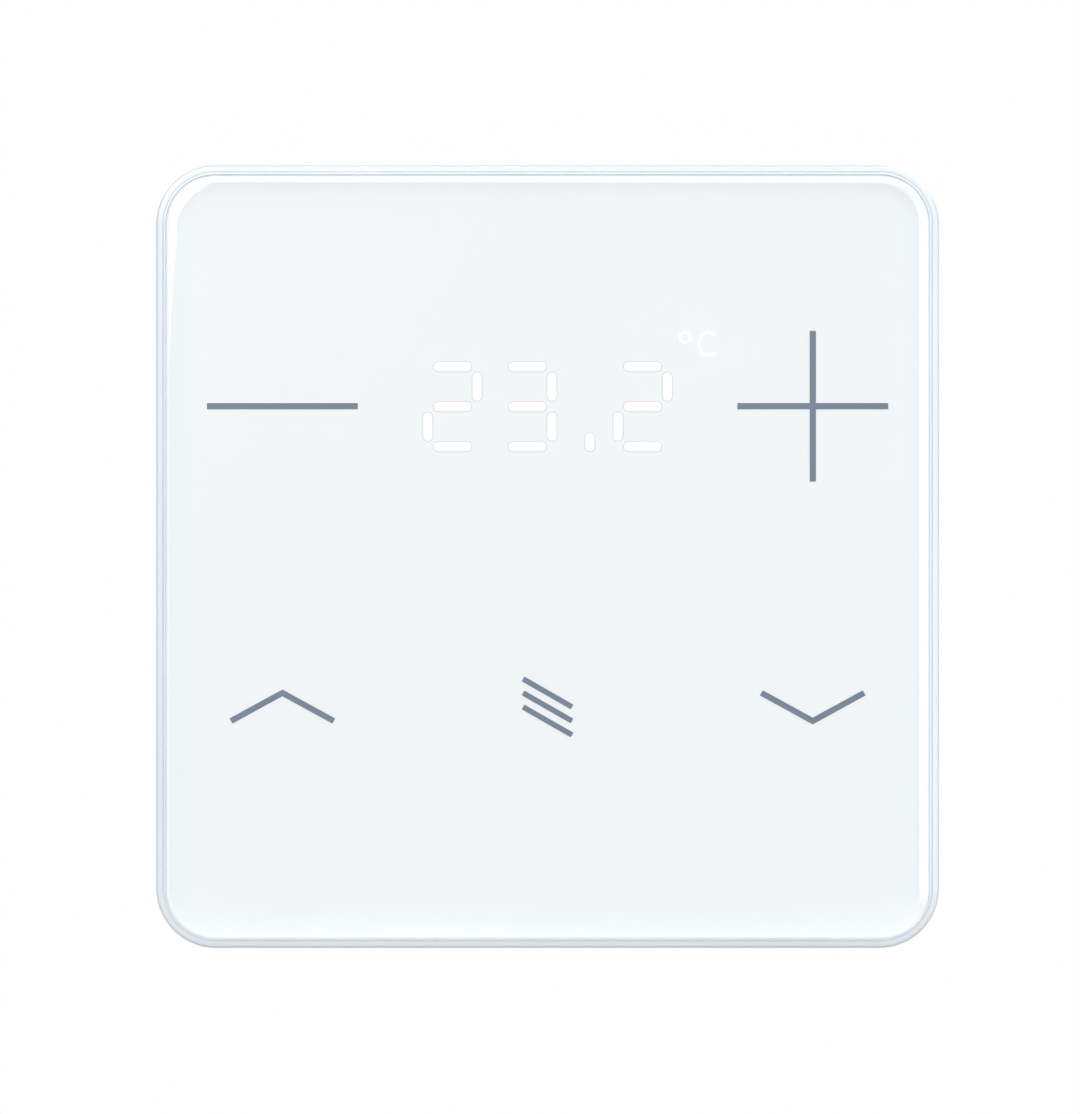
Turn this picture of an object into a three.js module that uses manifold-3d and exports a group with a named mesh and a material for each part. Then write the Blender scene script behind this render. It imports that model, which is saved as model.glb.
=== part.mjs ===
// Flush wall thermostat with a glass touch front, for a round wall box with screws 60 mm apart.
// Millimetres. X is to the right, Z is up and Y runs into the wall, whose surface is at Y = 0.
import * as THREE from "three";
import { mergeVertices } from "three/addons/utils/BufferGeometryUtils.js";
import Module from "manifold-3d";

const wasm = await Module();
wasm.setup();

// ---- Clearances ----
const restGap = 0.05; // between two pieces that rest on each other
const fitGap = 0.2; // round a piece that drops into its place
const runGap = 0.3; // round a piece that moves or passes through
const overcut = 1; // how far a cutting tool runs past what it cuts

// ---- Face, frame and glass ----
const faceWidth = 81.5;
const faceHeight = 81.5;
const faceCornerRadius = 6.2;
const frameEdgeWidth = 0.55; // rounding of the frame's front edge, seen from the front
const frameEdgeDepth = 1;
const frameWall = 1.6;
const wallShadowGap = 0.4; // between the frame's rear edge and the wall
const rimWidth = 1.15; // the frame seen round the glass
const glassThickness = 3;
const glassProud = 1.1; // how far the glass stands in front of the rim
const glassEdgeWidth = 1.1; // rounding of the glass's front edge
const glassEdgeDepth = 0.8;
const printThickness = 0.15;
const printInset = 0.35;
const tapeThickness = 0.25;
const tapeWidth = 2;
const tapeInset = 0.6;
const shelfThickness = 1.2;
const shelfWidth = 2.7;
const shelfCornerRadius = 8;
const pillarRadius = 2.4;
const pillarInset = 3.7; // from the frame's inner wall to a pillar's centre

// ---- Boards and the room round them ----
const touchBoardThickness = 1;
const touchBoardNotch = 0.4; // round each pillar
const componentRoom = 1.3; // between the touch board and the rear cover
const mainBoardThickness = 1.6;
const rearRoom = 7.4; // between the main board and the insert's rear wall

// ---- Wall carrier ----
const carrierThickness = 1.2;
const carrierInset = 5.25; // from the face's outline to the carrier's
const carrierCornerRadius = 4;
const openingMargin = 1.6; // from a box screw's head to the carrier's opening
const clipNotchWidth = 14;
const clipNotchDepth = 1;
const screwCircleRadius = 30;
const screwSlotWidth = 3.6;
const screwSlotHalfAngle = THREE.MathUtils.degToRad(11);
const dowelHoleRadius = 1.7;
const dowelHoleInset = 5.5;

// ---- Rear cover and its insert, which goes into the wall box ----
const coverThickness = 1.6;
const insertDepth = 13;
const insertGap = 1; // between the insert and the carrier's opening
const insertWall = 1.6;
const clipRoom = 3.9; // from the carrier's edge down to the insert's flat side
const headHoleRadius = 4.5; // clears a box screw's head
const ventSlotLength = 9;
const ventSlotWidth = 1.5;
const ventSlotPitch = 3.2;

// ---- Spring clips ----
const clipThickness = 0.4;
const clipWidth = 10;
const clipCatch = 0.7; // how far a clip reaches over the carrier's edge
const clipPeakBehind = 1.3; // from the carrier's rear face to the clip's peak
const clipTipBehind = -0.6;
const strapThickness = 1;
const strapLength = 1.5;
const strapInset = 1.7; // from the insert's rear face to the strap
const strapCheek = 1;

// ---- Bus terminal and its pins ----
const terminalHalfWidth = 5.7;
const terminalHeight = 10.2;
const terminalLength = 11;
const terminalZ = -8;
const terminalSeam = 0.1;
const pocketDepth = 7;
const pocketWall = 1.2;
const wireHoleRadius = 0.75;
const wireHoleDepth = 8;
const wireHoleSpacingX = 2.7;
const wireHoleSpacingZ = 5.4;
const pinRadius = 0.5;
const pinReach = 5.7; // into the terminal
const sleeveWall = 0.3;
const sleeveLength = 5;

// ---- Icons' touch pads and the display, on the face ----
const iconX = 27.6;
const iconZ = 15.65;
const largePadSize = 13;
const smallPadSize = 10.5;
const padCornerRadius = 1.5;
const displayZ = 15.65;
const digitCentres = [-9.9, -2.1, 9.9];
const digitWidth = 6;
const digitHeight = 9.2;
const segmentWidth = 0.88;
const segmentGap = 0.2;
const segmentCorner = 0.38;
const pointX = 4.4;
const pointHeight = 1.8;
const unitX = 15.7;
const unitZ = 22.1;
const unitWindowWidth = 5;
const unitWindowHeight = 3.4;
const maskMargin = 1.1;
const diffuserThickness = 0.3;
const ledLength = 1.6;
const ledWidth = 0.6;
const ledHeight = 0.5;

// ---- Openings and small parts along the lower and upper edges ----
const buttonX = 14;
const buttonRadius = 1;
const buttonRecess = 0.6;
const buttonTravel = 0.3;
const buttonFlangeRadius = 1.25;
const buttonFlangeThickness = 0.3;
const stemRadius = 0.5;
const stemLength = 1.1;
const switchWidth = 4.6;
const switchHeight = 2.8;
const switchDepth = 2.6;
const ledX = 19;
const ledPipeRadius = 0.9;
const ledBodyWidth = 2.4;
const ledBodyHeight = 1.8;
const ledBodyDepth = 2;
const sensorX = -14;
const sensorBoardWidth = 9;
const sensorBoardHeight = 5;
const sensorChipSize = 3;
const sensorChipHeight = 1;
const airSlotLength = 3.4;
const airSlotWidth = 1;
const airSlotPitch = 4.8;
const airSlotsBelow = 5;
const airSlotsAbove = 9;

// ---- Fasteners ----
const boxScrewRadius = 1.6;
const boxScrewLength = 20;
const boxScrewHeadRadius = 2.9;
const boxScrewHeadHeight = 1.5;
const coverScrewRadius = 1.1;
const coverScrewLength = 3.5;
const coverScrewHeadRadius = 2;
const coverScrewHeadHeight = 0.8;
const boardScrewRadius = 1;
const boardScrewLength = 5;
const boardScrewHeadRadius = 1.9;
const boardScrewHeadHeight = 1.2;
const recessShare = 0.6; // depth of a cross recess beside its head's height
const tipLength = 0.8; // a screw's tapered end

// ---- Depths along Y, worked out from the wall outwards and inwards ----
const carrierFrontY = -carrierThickness;
const coverBackY = carrierFrontY - restGap * 2;
const coverFrontY = coverBackY - coverThickness;
const touchBoardBackY = coverFrontY - componentRoom;
const touchBoardFrontY = touchBoardBackY - touchBoardThickness;
const shelfBackY = touchBoardFrontY - restGap;
const shelfFrontY = shelfBackY - shelfThickness;
const tapeBackY = shelfFrontY - restGap;
const printBackY = tapeBackY - tapeThickness - restGap;
const glassBackY = printBackY - printThickness - restGap;
const glassFrontY = glassBackY - glassThickness;
const rimFrontY = glassFrontY + glassProud;
const frameBackY = -wallShadowGap;
const insertRearWallY = insertDepth - insertWall;
const mainBoardBackY = insertRearWallY - rearRoom;
const mainBoardFrontY = mainBoardBackY - mainBoardThickness;
const pocketFloorY = insertDepth - pocketDepth;
const terminalFrontY = pocketFloorY + fitGap;

// ---- Sizes worked out from those above ----
const glassWidth = faceWidth - 2 * rimWidth;
const glassHeight = faceHeight - 2 * rimWidth;
const glassCornerRadius = faceCornerRadius - rimWidth;
const cavityWidth = faceWidth - 2 * frameWall;
const cavityHeight = faceHeight - 2 * frameWall;
const cavityCornerRadius = faceCornerRadius - frameWall;
const shelfOpeningWidth = cavityWidth - 2 * shelfWidth;
const shelfOpeningHeight = cavityHeight - 2 * shelfWidth;
const pillarX = cavityWidth / 2 - pillarInset;
const pillarZ = cavityHeight / 2 - pillarInset;
const carrierWidth = faceWidth - 2 * carrierInset;
const carrierHeight = faceHeight - 2 * carrierInset;
const openingRadius = screwCircleRadius - boxScrewHeadRadius - openingMargin;
const clipEdgeZ = openingRadius + clipNotchDepth;
const insertRadius = openingRadius - insertGap;
const insertFlatZ = clipEdgeZ - clipRoom;
const terminalWidth = 2 * terminalHalfWidth + terminalSeam;
const terminalHalfX = (terminalHalfWidth + terminalSeam) / 2;
const pocketOuterX = terminalWidth / 2 + runGap + pocketWall;
const padRoom = touchBoardFrontY - printBackY;
const segmentRowPitch = (digitHeight - segmentWidth) / 2;

// ---- Materials ----
const material = (name, color, roughness, metalness = 0) =>
  Object.assign(new THREE.MeshStandardMaterial({ color, roughness, metalness }), { name });
const clearGlass = Object.assign(material("clear_glass", 0xe6f0ef, 0.04), {
  transparent: true,
  opacity: 0.35,
});
const whitePrint = material("white_print", 0xf1f5f6, 0.3);
const whitePlastic = material("white_plastic", 0xe3e7ea, 0.35);
const rearPlastic = material("rear_plastic", 0xdcdfe0, 0.5);
const foamTape = material("adhesive_tape", 0xf4f4f0, 0.8);
const frostedPlastic = material("frosted_plastic", 0xeef2f4, 0.6);
const conductiveFoam = material("conductive_foam", 0x55585c, 0.9);
const whiteBoard = material("white_board", 0xe9ebe8, 0.45);
const greenBoard = material("green_board", 0x2f6b46, 0.4);
const blackPlastic = material("black_plastic", 0x1c1d1f, 0.5);
const redPlastic = material("red_plastic", 0xb3161d, 0.4);
const greyPlastic = material("grey_plastic", 0x34373b, 0.4);
const springSteel = material("spring_steel", 0xb9bcbf, 0.3, 1);
const galvanisedSteel = material("galvanised_steel", 0xa9adb1, 0.42, 1);
const zincScrew = material("zinc_screw", 0xc3c6c8, 0.3, 1);
const tinnedBrass = material("tinned_brass", 0xcfc7ae, 0.3, 1);
const canAluminium = material("can_aluminium", 0xc9ccd0, 0.35, 1);
const redLens = material("red_lens", 0xc8322c, 0.2);

// ---- Solids ----
// A closed geometry as a solid that can be joined and cut.
function solid(geometry) {
  const bare = geometry.index ? geometry.toNonIndexed() : geometry.clone();
  bare.deleteAttribute("normal");
  bare.deleteAttribute("uv");
  const merged = mergeVertices(bare, 1e-4);
  return new wasm.Manifold(
    new wasm.Mesh({
      numProp: 3,
      vertProperties: merged.attributes.position.array,
      triVerts: new Uint32Array(merged.index.array),
    }),
  );
}

function geometryOf(made) {
  const mesh = made.getMesh();
  const geometry = new THREE.BufferGeometry();
  geometry.setAttribute("position", new THREE.BufferAttribute(mesh.vertProperties, 3));
  geometry.setIndex(new THREE.BufferAttribute(mesh.triVerts, 1));
  geometry.computeVertexNormals();
  return geometry;
}

// A solid as a named mesh, standing with its own origin at a point of its parent.
function piece(name, made, finish, x = 0, y = 0, z = 0) {
  const mesh = new THREE.Mesh(geometryOf(made), finish);
  mesh.name = name;
  mesh.position.set(x, y, z);
  return mesh;
}

function roundedRect(width, height, radius, x = 0, z = 0) {
  const [w, h] = [width / 2 - radius, height / 2 - radius];
  const shape = new THREE.Shape();
  shape.absarc(x + w, z + h, radius, 0, Math.PI / 2);
  shape.absarc(x - w, z + h, radius, Math.PI / 2, Math.PI);
  shape.absarc(x - w, z - h, radius, Math.PI, 1.5 * Math.PI);
  shape.absarc(x + w, z - h, radius, 1.5 * Math.PI, 2 * Math.PI);
  shape.closePath();
  return shape;
}

// A slot that follows a circle about the origin, with round ends.
function arcSlot(radius, width, halfAngle, middle) {
  const [from, to, half] = [middle - halfAngle, middle + halfAngle, width / 2];
  const shape = new THREE.Shape();
  shape.absarc(0, 0, radius + half, from, to);
  shape.absarc(radius * Math.cos(to), radius * Math.sin(to), half, to, to + Math.PI);
  shape.absarc(0, 0, radius - half, to, from, true);
  shape.absarc(
    radius * Math.cos(from),
    radius * Math.sin(from),
    half,
    from + Math.PI,
    from + 2 * Math.PI,
  );
  shape.closePath();
  return shape;
}

// An X-Z outline as a plate whose rear face is at Y = 0 and whose front is at Y = -thickness.
function plate(shape, thickness, curveSegments = 6, extra = {}) {
  const geometry = new THREE.ExtrudeGeometry(shape, {
    depth: thickness,
    bevelEnabled: false,
    curveSegments,
    ...extra,
  });
  return solid(geometry.rotateX(Math.PI / 2));
}

// The same plate between two depths, for cutting and joining in a piece's own frame.
const layer = (shape, backY, frontY, curveSegments) =>
  plate(shape, backY - frontY, curveSegments).translate([0, backY, 0]);

// A plate whose front edge is rounded and whose rear edge is square.
function roundedPlate(shape, thickness, edgeWidth, edgeDepth, reach, edgeSegments) {
  const blank = plate(shape, thickness - edgeDepth + overcut, 8, {
    bevelEnabled: true,
    bevelThickness: edgeDepth,
    bevelSize: edgeWidth,
    bevelOffset: -edgeWidth,
    bevelSegments: edgeSegments,
  }).translate([0, overcut, 0]);
  return blank.intersect(block(reach, thickness, reach, 0, -thickness / 2, 0));
}

function block(sizeX, sizeY, sizeZ, x = 0, y = 0, z = 0) {
  return solid(new THREE.BoxGeometry(sizeX, sizeY, sizeZ)).translate([x, y, z]);
}

// A cylinder along Y between two depths.
function rod(radius, fromY, toY, x = 0, z = 0, sides = 20) {
  const geometry = new THREE.CylinderGeometry(radius, radius, toY - fromY, sides);
  return solid(geometry).translate([x, (fromY + toY) / 2, z]);
}

// A cylinder along Z between two heights.
function upright(radius, fromZ, toZ, x = 0, y = 0, sides = 20) {
  const geometry = new THREE.CylinderGeometry(radius, radius, toZ - fromZ, sides);
  return solid(geometry.rotateX(Math.PI / 2)).translate([x, y, (fromZ + toZ) / 2]);
}

// A body of revolution about Y. Its profile runs from one end of the axis to the other.
function turned(profile, sides = 20) {
  const points = profile.map(([radius, y]) => new THREE.Vector2(radius, y));
  return solid(new THREE.LatheGeometry(points, sides));
}

const joined = (parts) => parts.reduce((whole, part) => whole.add(part));
const cutBy = (body, tools) => tools.reduce((whole, tool) => whole.subtract(tool), body);
const fourCorners = (x, z) => [
  [x, z],
  [-x, z],
  [-x, -z],
  [x, -z],
];

// ---- Display layout: each window is [x, z, width, height] about the face's centre ----
function digitSegments(centreX) {
  const across = digitWidth - 2 * segmentWidth - 2 * segmentGap;
  const upright = segmentRowPitch - segmentWidth - 2 * segmentGap;
  const sideX = (digitWidth - segmentWidth) / 2;
  const level = [-1, 0, 1].map((row) => [
    centreX,
    displayZ + row * segmentRowPitch,
    across,
    segmentWidth,
  ]);
  const sides = fourCorners(sideX, segmentRowPitch / 2).map(([x, z]) => [
    centreX + x,
    displayZ + z,
    segmentWidth,
    upright,
  ]);
  return [...level, ...sides];
}

const pointWindow = [
  pointX,
  displayZ - (digitHeight - pointHeight) / 2,
  segmentWidth,
  pointHeight,
];
const segmentWindows = [...digitCentres.flatMap(digitSegments), pointWindow];
const unitWindow = [unitX, unitZ, unitWindowWidth, unitWindowHeight];
const maskLeft = digitCentres[0] - digitWidth / 2 - maskMargin;
const maskRight = unitX + unitWindowWidth / 2 + maskMargin;
const maskBottom = displayZ - digitHeight / 2 - maskMargin;
const maskTop = unitZ + unitWindowHeight / 2 + maskMargin;
const maskShape = roundedRect(
  maskRight - maskLeft,
  maskTop - maskBottom,
  padCornerRadius,
  (maskLeft + maskRight) / 2,
  (maskBottom + maskTop) / 2,
);

// ---- Wall side ----
function carrierPlate() {
  const outline = roundedRect(carrierWidth, carrierHeight, carrierCornerRadius);
  const tools = [
    rod(openingRadius, -carrierThickness - overcut, overcut, 0, 0, 64),
    block(clipNotchWidth, 2 * overcut + 2 * carrierThickness, 2 * clipEdgeZ),
  ];
  for (let quarter = 0; quarter < 4; quarter++) {
    const slot = arcSlot(
      screwCircleRadius,
      screwSlotWidth,
      screwSlotHalfAngle,
      (quarter * Math.PI) / 2,
    );
    tools.push(layer(slot, overcut, -carrierThickness - overcut));
  }
  const dowelX = carrierWidth / 2 - dowelHoleInset;
  const dowelZ = carrierHeight / 2 - dowelHoleInset;
  for (const [x, z] of fourCorners(dowelX, dowelZ))
    tools.push(rod(dowelHoleRadius, -carrierThickness - overcut, overcut, x, z, 16));
  return piece("carrier_plate", cutBy(plate(outline, carrierThickness), tools), galvanisedSteel);
}

// A screw along Y with its head's seat at Y = 0, its head to the front and a cross recess.
function screw(radius, length, headRadius, headHeight) {
  const body = turned([
    [0, -headHeight],
    [headRadius * 0.8, -headHeight],
    [headRadius, -headHeight * 0.6],
    [headRadius, 0],
    [radius, 0],
    [radius, length - tipLength],
    [radius * 0.5, length],
    [0, length],
  ]);
  const recess = headHeight * recessShare;
  const arm = headRadius * 1.1;
  const blade = headRadius * 0.24;
  return cutBy(body, [
    block(arm, 2 * recess, blade, 0, -headHeight, 0),
    block(blade, 2 * recess, arm, 0, -headHeight, 0),
  ]);
}

function boxScrew(name, x) {
  const made = screw(boxScrewRadius, boxScrewLength, boxScrewHeadRadius, boxScrewHeadHeight);
  return piece(name, made, zincScrew, x, carrierFrontY - restGap, 0);
}

// ---- Front stack ----
function frontGlass() {
  const outline = roundedRect(glassWidth, glassHeight, glassCornerRadius);
  const reach = 2 * Math.max(faceWidth, faceHeight);
  const made = roundedPlate(outline, glassThickness, glassEdgeWidth, glassEdgeDepth, reach, 4);
  return piece("front_glass", made, clearGlass, 0, glassBackY, 0);
}

function printLayer() {
  const outline = roundedRect(
    glassWidth - 2 * printInset,
    glassHeight - 2 * printInset,
    glassCornerRadius - printInset,
  );
  return piece("print_layer", plate(outline, printThickness), whitePrint, 0, printBackY, 0);
}

function glassTape() {
  const [width, height] = [glassWidth - 2 * tapeInset, glassHeight - 2 * tapeInset];
  const radius = glassCornerRadius - tapeInset;
  const outline = roundedRect(width, height, radius);
  outline.holes.push(roundedRect(width - 2 * tapeWidth, height - 2 * tapeWidth, radius / 2));
  return piece("glass_tape", plate(outline, tapeThickness), foamTape, 0, tapeBackY, 0);
}

// A row of slots through the frame's lower or upper wall, open to the room behind the touch board.
function airSlots(count, x, wallZ) {
  const y = (coverFrontY + touchBoardBackY) / 2;
  return Array.from({ length: count }, (_, i) =>
    block(
      airSlotLength,
      airSlotWidth,
      2 * frameWall + overcut,
      x + (i - (count - 1) / 2) * airSlotPitch,
      y,
      wallZ,
    ),
  );
}

const buttonY = touchBoardBackY + restGap + switchDepth / 2;
const ledY = touchBoardBackY + restGap + ledBodyDepth / 2;

function bezelFrame() {
  const depth = frameBackY - rimFrontY;
  const reach = 2 * Math.max(faceWidth, faceHeight);
  const outline = roundedRect(faceWidth, faceHeight, faceCornerRadius);
  const blank = roundedPlate(outline, depth, frameEdgeWidth, frameEdgeDepth, reach, 3);
  const pocket = roundedRect(
    glassWidth + fitGap,
    glassHeight + fitGap,
    glassCornerRadius + fitGap / 2,
  );
  const opening = roundedRect(shelfOpeningWidth, shelfOpeningHeight, shelfCornerRadius);
  const cavity = roundedRect(cavityWidth, cavityHeight, cavityCornerRadius);
  const hollow = cutBy(blank.translate([0, frameBackY, 0]), [
    layer(pocket, shelfFrontY, rimFrontY - overcut, 8),
    layer(opening, shelfBackY + overcut, shelfFrontY - overcut),
    layer(cavity, frameBackY + overcut, shelfBackY),
  ]);
  const pillars = fourCorners(pillarX, pillarZ).map(([x, z]) =>
    rod(pillarRadius, shelfBackY - shelfThickness / 2, coverFrontY - restGap, x, z),
  );
  const screwEndY = coverBackY - coverScrewHeadHeight - fitGap - coverScrewLength;
  const tools = fourCorners(pillarX, pillarZ).map(([x, z]) =>
    rod(coverScrewRadius + restGap * 2, screwEndY - fitGap, coverBackY, x, z, 16),
  );
  const wallZ = (faceHeight - frameWall) / 2;
  tools.push(...airSlots(airSlotsBelow, sensorX, -wallZ));
  tools.push(...airSlots(airSlotsAbove, 0, wallZ));
  const low = -faceHeight / 2 - overcut;
  tools.push(upright(buttonRadius + restGap * 2, low, -cavityHeight / 2 + overcut, buttonX, buttonY));
  tools.push(upright(ledPipeRadius + restGap * 2, low, -cavityHeight / 2 + overcut, ledX, ledY));
  const made = cutBy(joined([hollow, ...pillars]), tools);
  return piece("bezel_frame", made.translate([0, -frameBackY, 0]), whitePlastic, 0, frameBackY, 0);
}

function lightMask() {
  const height = padRoom - diffuserThickness - 3 * restGap;
  const backY = touchBoardFrontY - restGap;
  const windows = segmentWindows.map(([x, z, w, h]) =>
    layer(roundedRect(w, h, segmentCorner, x, z), overcut, -height - overcut, 2),
  );
  const [x, z, w, h] = unitWindow;
  windows.push(layer(roundedRect(w, h, segmentCorner, x, z), overcut, -height - overcut, 2));
  return piece("light_mask", cutBy(plate(maskShape, height), windows), whitePlastic, 0, backY, 0);
}

function segmentDiffuser() {
  const backY = printBackY + restGap + diffuserThickness;
  return piece("segment_diffuser", plate(maskShape, diffuserThickness), frostedPlastic, 0, backY, 0);
}

function touchPad(name, size, x, z) {
  const made = plate(roundedRect(size, size, padCornerRadius), padRoom - 2 * restGap, 4);
  return piece(name, made, conductiveFoam, x, touchBoardFrontY - restGap, z);
}

// ---- Touch board and what it carries on its rear side ----
const sensorZ = -cavityHeight / 2 + fitGap + sensorBoardHeight / 2;

function touchBoard() {
  const outline = roundedRect(
    cavityWidth - 2 * fitGap,
    cavityHeight - 2 * fitGap,
    cavityCornerRadius - fitGap,
  );
  const tools = fourCorners(pillarX, pillarZ).map(([x, z]) =>
    rod(pillarRadius + touchBoardNotch, -touchBoardThickness - overcut, overcut, x, z),
  );
  const notchWidth = sensorBoardWidth + 2 * runGap;
  const notchHeight = 2 * (sensorBoardHeight + 2 * runGap);
  tools.push(
    block(notchWidth, 4 * touchBoardThickness, notchHeight, sensorX, 0, -cavityHeight / 2),
  );
  const leds = [...segmentWindows, unitWindow].map(([x, z, w, h]) => {
    const [sizeX, sizeZ] = w > h ? [ledLength, ledWidth] : [ledWidth, ledLength];
    const sunk = touchBoardThickness / 2; // each chip's body starts half way into the board
    return block(sizeX, ledHeight + sunk, sizeZ, x, -sunk - (ledHeight + sunk) / 2, z);
  });
  const made = joined([cutBy(plate(outline, touchBoardThickness), tools), ...leds]);
  return piece("touch_board", made, whiteBoard, 0, touchBoardBackY, 0);
}

// A flat chip or block on the rear side of a board whose rear face is at boardY.
function onRear(name, boardY, sizeX, height, sizeZ, x, z, finish) {
  const made = block(sizeX, height, sizeZ, 0, height / 2, 0);
  return piece(name, made, finish, x, boardY + restGap, z);
}

// The same on the front side of a board whose front face is at boardY.
function onFront(name, boardY, sizeX, height, sizeZ, x, z, finish) {
  const made = block(sizeX, height, sizeZ, 0, -height / 2, 0);
  return piece(name, made, finish, x, boardY - restGap, z);
}

function sensorBoard() {
  const made = block(sensorBoardWidth, touchBoardThickness, sensorBoardHeight);
  return piece(
    "sensor_board",
    made,
    greenBoard,
    sensorX,
    touchBoardBackY - touchBoardThickness / 2,
    sensorZ,
  );
}

const switchFaceZ = -cavityHeight / 2 + restGap + buttonFlangeThickness + buttonTravel + restGap;
const stemHoleDepth = stemLength + restGap;

function programmingSwitch() {
  const body = block(switchWidth, switchDepth, switchHeight, 0, 0, switchHeight / 2);
  const hole = upright(stemRadius + restGap * 2, -overcut, stemHoleDepth, 0, 0, 12);
  return piece(
    "programming_switch",
    body.subtract(hole),
    blackPlastic,
    buttonX,
    buttonY,
    switchFaceZ,
  );
}

// The button stands in the frame's lower wall, with its stem in the switch. Its origin is at the flange's lower face.
function programmingButton() {
  const capLength = frameWall + restGap - buttonRecess;
  const stemBase = buttonFlangeThickness;
  const stemTop = stemBase + stemLength - buttonTravel + restGap;
  const made = joined([
    upright(buttonRadius, -capLength, restGap, 0, 0),
    upright(buttonFlangeRadius, 0, buttonFlangeThickness, 0, 0),
    upright(stemRadius, stemBase - restGap, stemTop, 0, 0, 12),
  ]);
  const flangeZ = -cavityHeight / 2 + restGap;
  return piece("programming_button", made, greyPlastic, buttonX, buttonY, flangeZ);
}

const ledBodyZ = -cavityHeight / 2 + fitGap;

function programmingLed() {
  const body = block(ledBodyWidth, ledBodyDepth, ledBodyHeight, 0, 0, ledBodyHeight / 2);
  const pipeLength = fitGap + frameWall - buttonRecess / 2;
  const pipe = upright(ledPipeRadius, -pipeLength, restGap, 0, 0, 16);
  return piece("programming_led", body.add(pipe), redLens, ledX, ledY, ledBodyZ);
}

// ---- Board-to-board connector: two rows of pins in a socket ----
const headerPitch = 2;
const headerPins = 4;
const headerX = 0;
const headerZ = 12;
const headerPinSize = 0.5;
const headerMargin = 0.9;
const socketHeight = 3.2;
const headerRoom = mainBoardFrontY - touchBoardBackY - 2 * restGap;
const headerWidth = (headerPins - 1) * headerPitch + 2 * headerMargin;
const headerHeight = headerPitch + 2 * headerMargin;
const headerSpots = [-0.5, 0.5].flatMap((row) =>
  Array.from({ length: headerPins }, (_, i) => [
    (i - (headerPins - 1) / 2) * headerPitch,
    row * headerPitch,
  ]),
);

function boardSocket() {
  const body = block(headerWidth, socketHeight, headerHeight, 0, socketHeight / 2, 0);
  const hole = headerPinSize + 2 * fitGap;
  const tools = headerSpots.map(([x, z]) =>
    block(hole, socketHeight, hole, x, socketHeight / 2 + restGap * 4, z),
  );
  return piece(
    "board_socket",
    cutBy(body, tools),
    blackPlastic,
    headerX,
    touchBoardBackY + restGap,
    headerZ,
  );
}

function boardHeader() {
  const base = headerRoom - socketHeight - fitGap;
  const body = block(headerWidth, base, headerHeight, 0, -base / 2, 0);
  const pinLength = headerRoom - 2 * fitGap - restGap * 4;
  const pins = headerSpots.map(([x, z]) =>
    block(headerPinSize, pinLength, headerPinSize, x, -pinLength / 2, z),
  );
  return piece(
    "board_header",
    joined([body, ...pins]),
    blackPlastic,
    headerX,
    mainBoardFrontY - restGap,
    headerZ,
  );
}

// ---- Rear cover ----
// The insert's outline: a disc with a flat side above and below.
function insertBody(inset, fromY, toY) {
  const disc = rod(insertRadius - inset, fromY, toY, 0, 0, 48);
  const band = block(4 * insertRadius, 4 * insertDepth, 2 * (insertFlatZ - inset));
  return disc.intersect(band.translate([0, (fromY + toY) / 2, 0]));
}

const pocketTopZ = terminalZ + terminalHeight / 2 + runGap + pocketWall;
const pocketBottomZ = terminalZ - terminalHeight / 2 - runGap - pocketWall;
const postRadius = 2;
const postX = pocketOuterX + runGap + postRadius + boardScrewHeadRadius;
const postZ = terminalZ - 2;
const strapRearY = insertDepth - strapInset;
const strapFrontY = strapRearY - strapLength;
const strapHollow = clipThickness + 2 * fitGap;
const bracePad = 3; // size of each stud that holds the touch board against the shelf
const braceX = pillarX - 2 * pillarRadius;

// The strap on the insert's upper flat side that holds a clip's root.
function clipStrap() {
  const width = clipWidth + 2 * (runGap + strapCheek);
  const height = strapHollow + strapThickness;
  const y = (strapRearY + strapFrontY) / 2;
  const sunk = insertWall / 2;
  const outer = block(width, strapLength, height + sunk, 0, y, insertFlatZ + (height - sunk) / 2);
  const inner = block(
    clipWidth + 2 * runGap,
    strapLength + 2 * overcut,
    strapHollow,
    0,
    y,
    insertFlatZ + strapHollow / 2,
  );
  return outer.subtract(inner);
}

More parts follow.
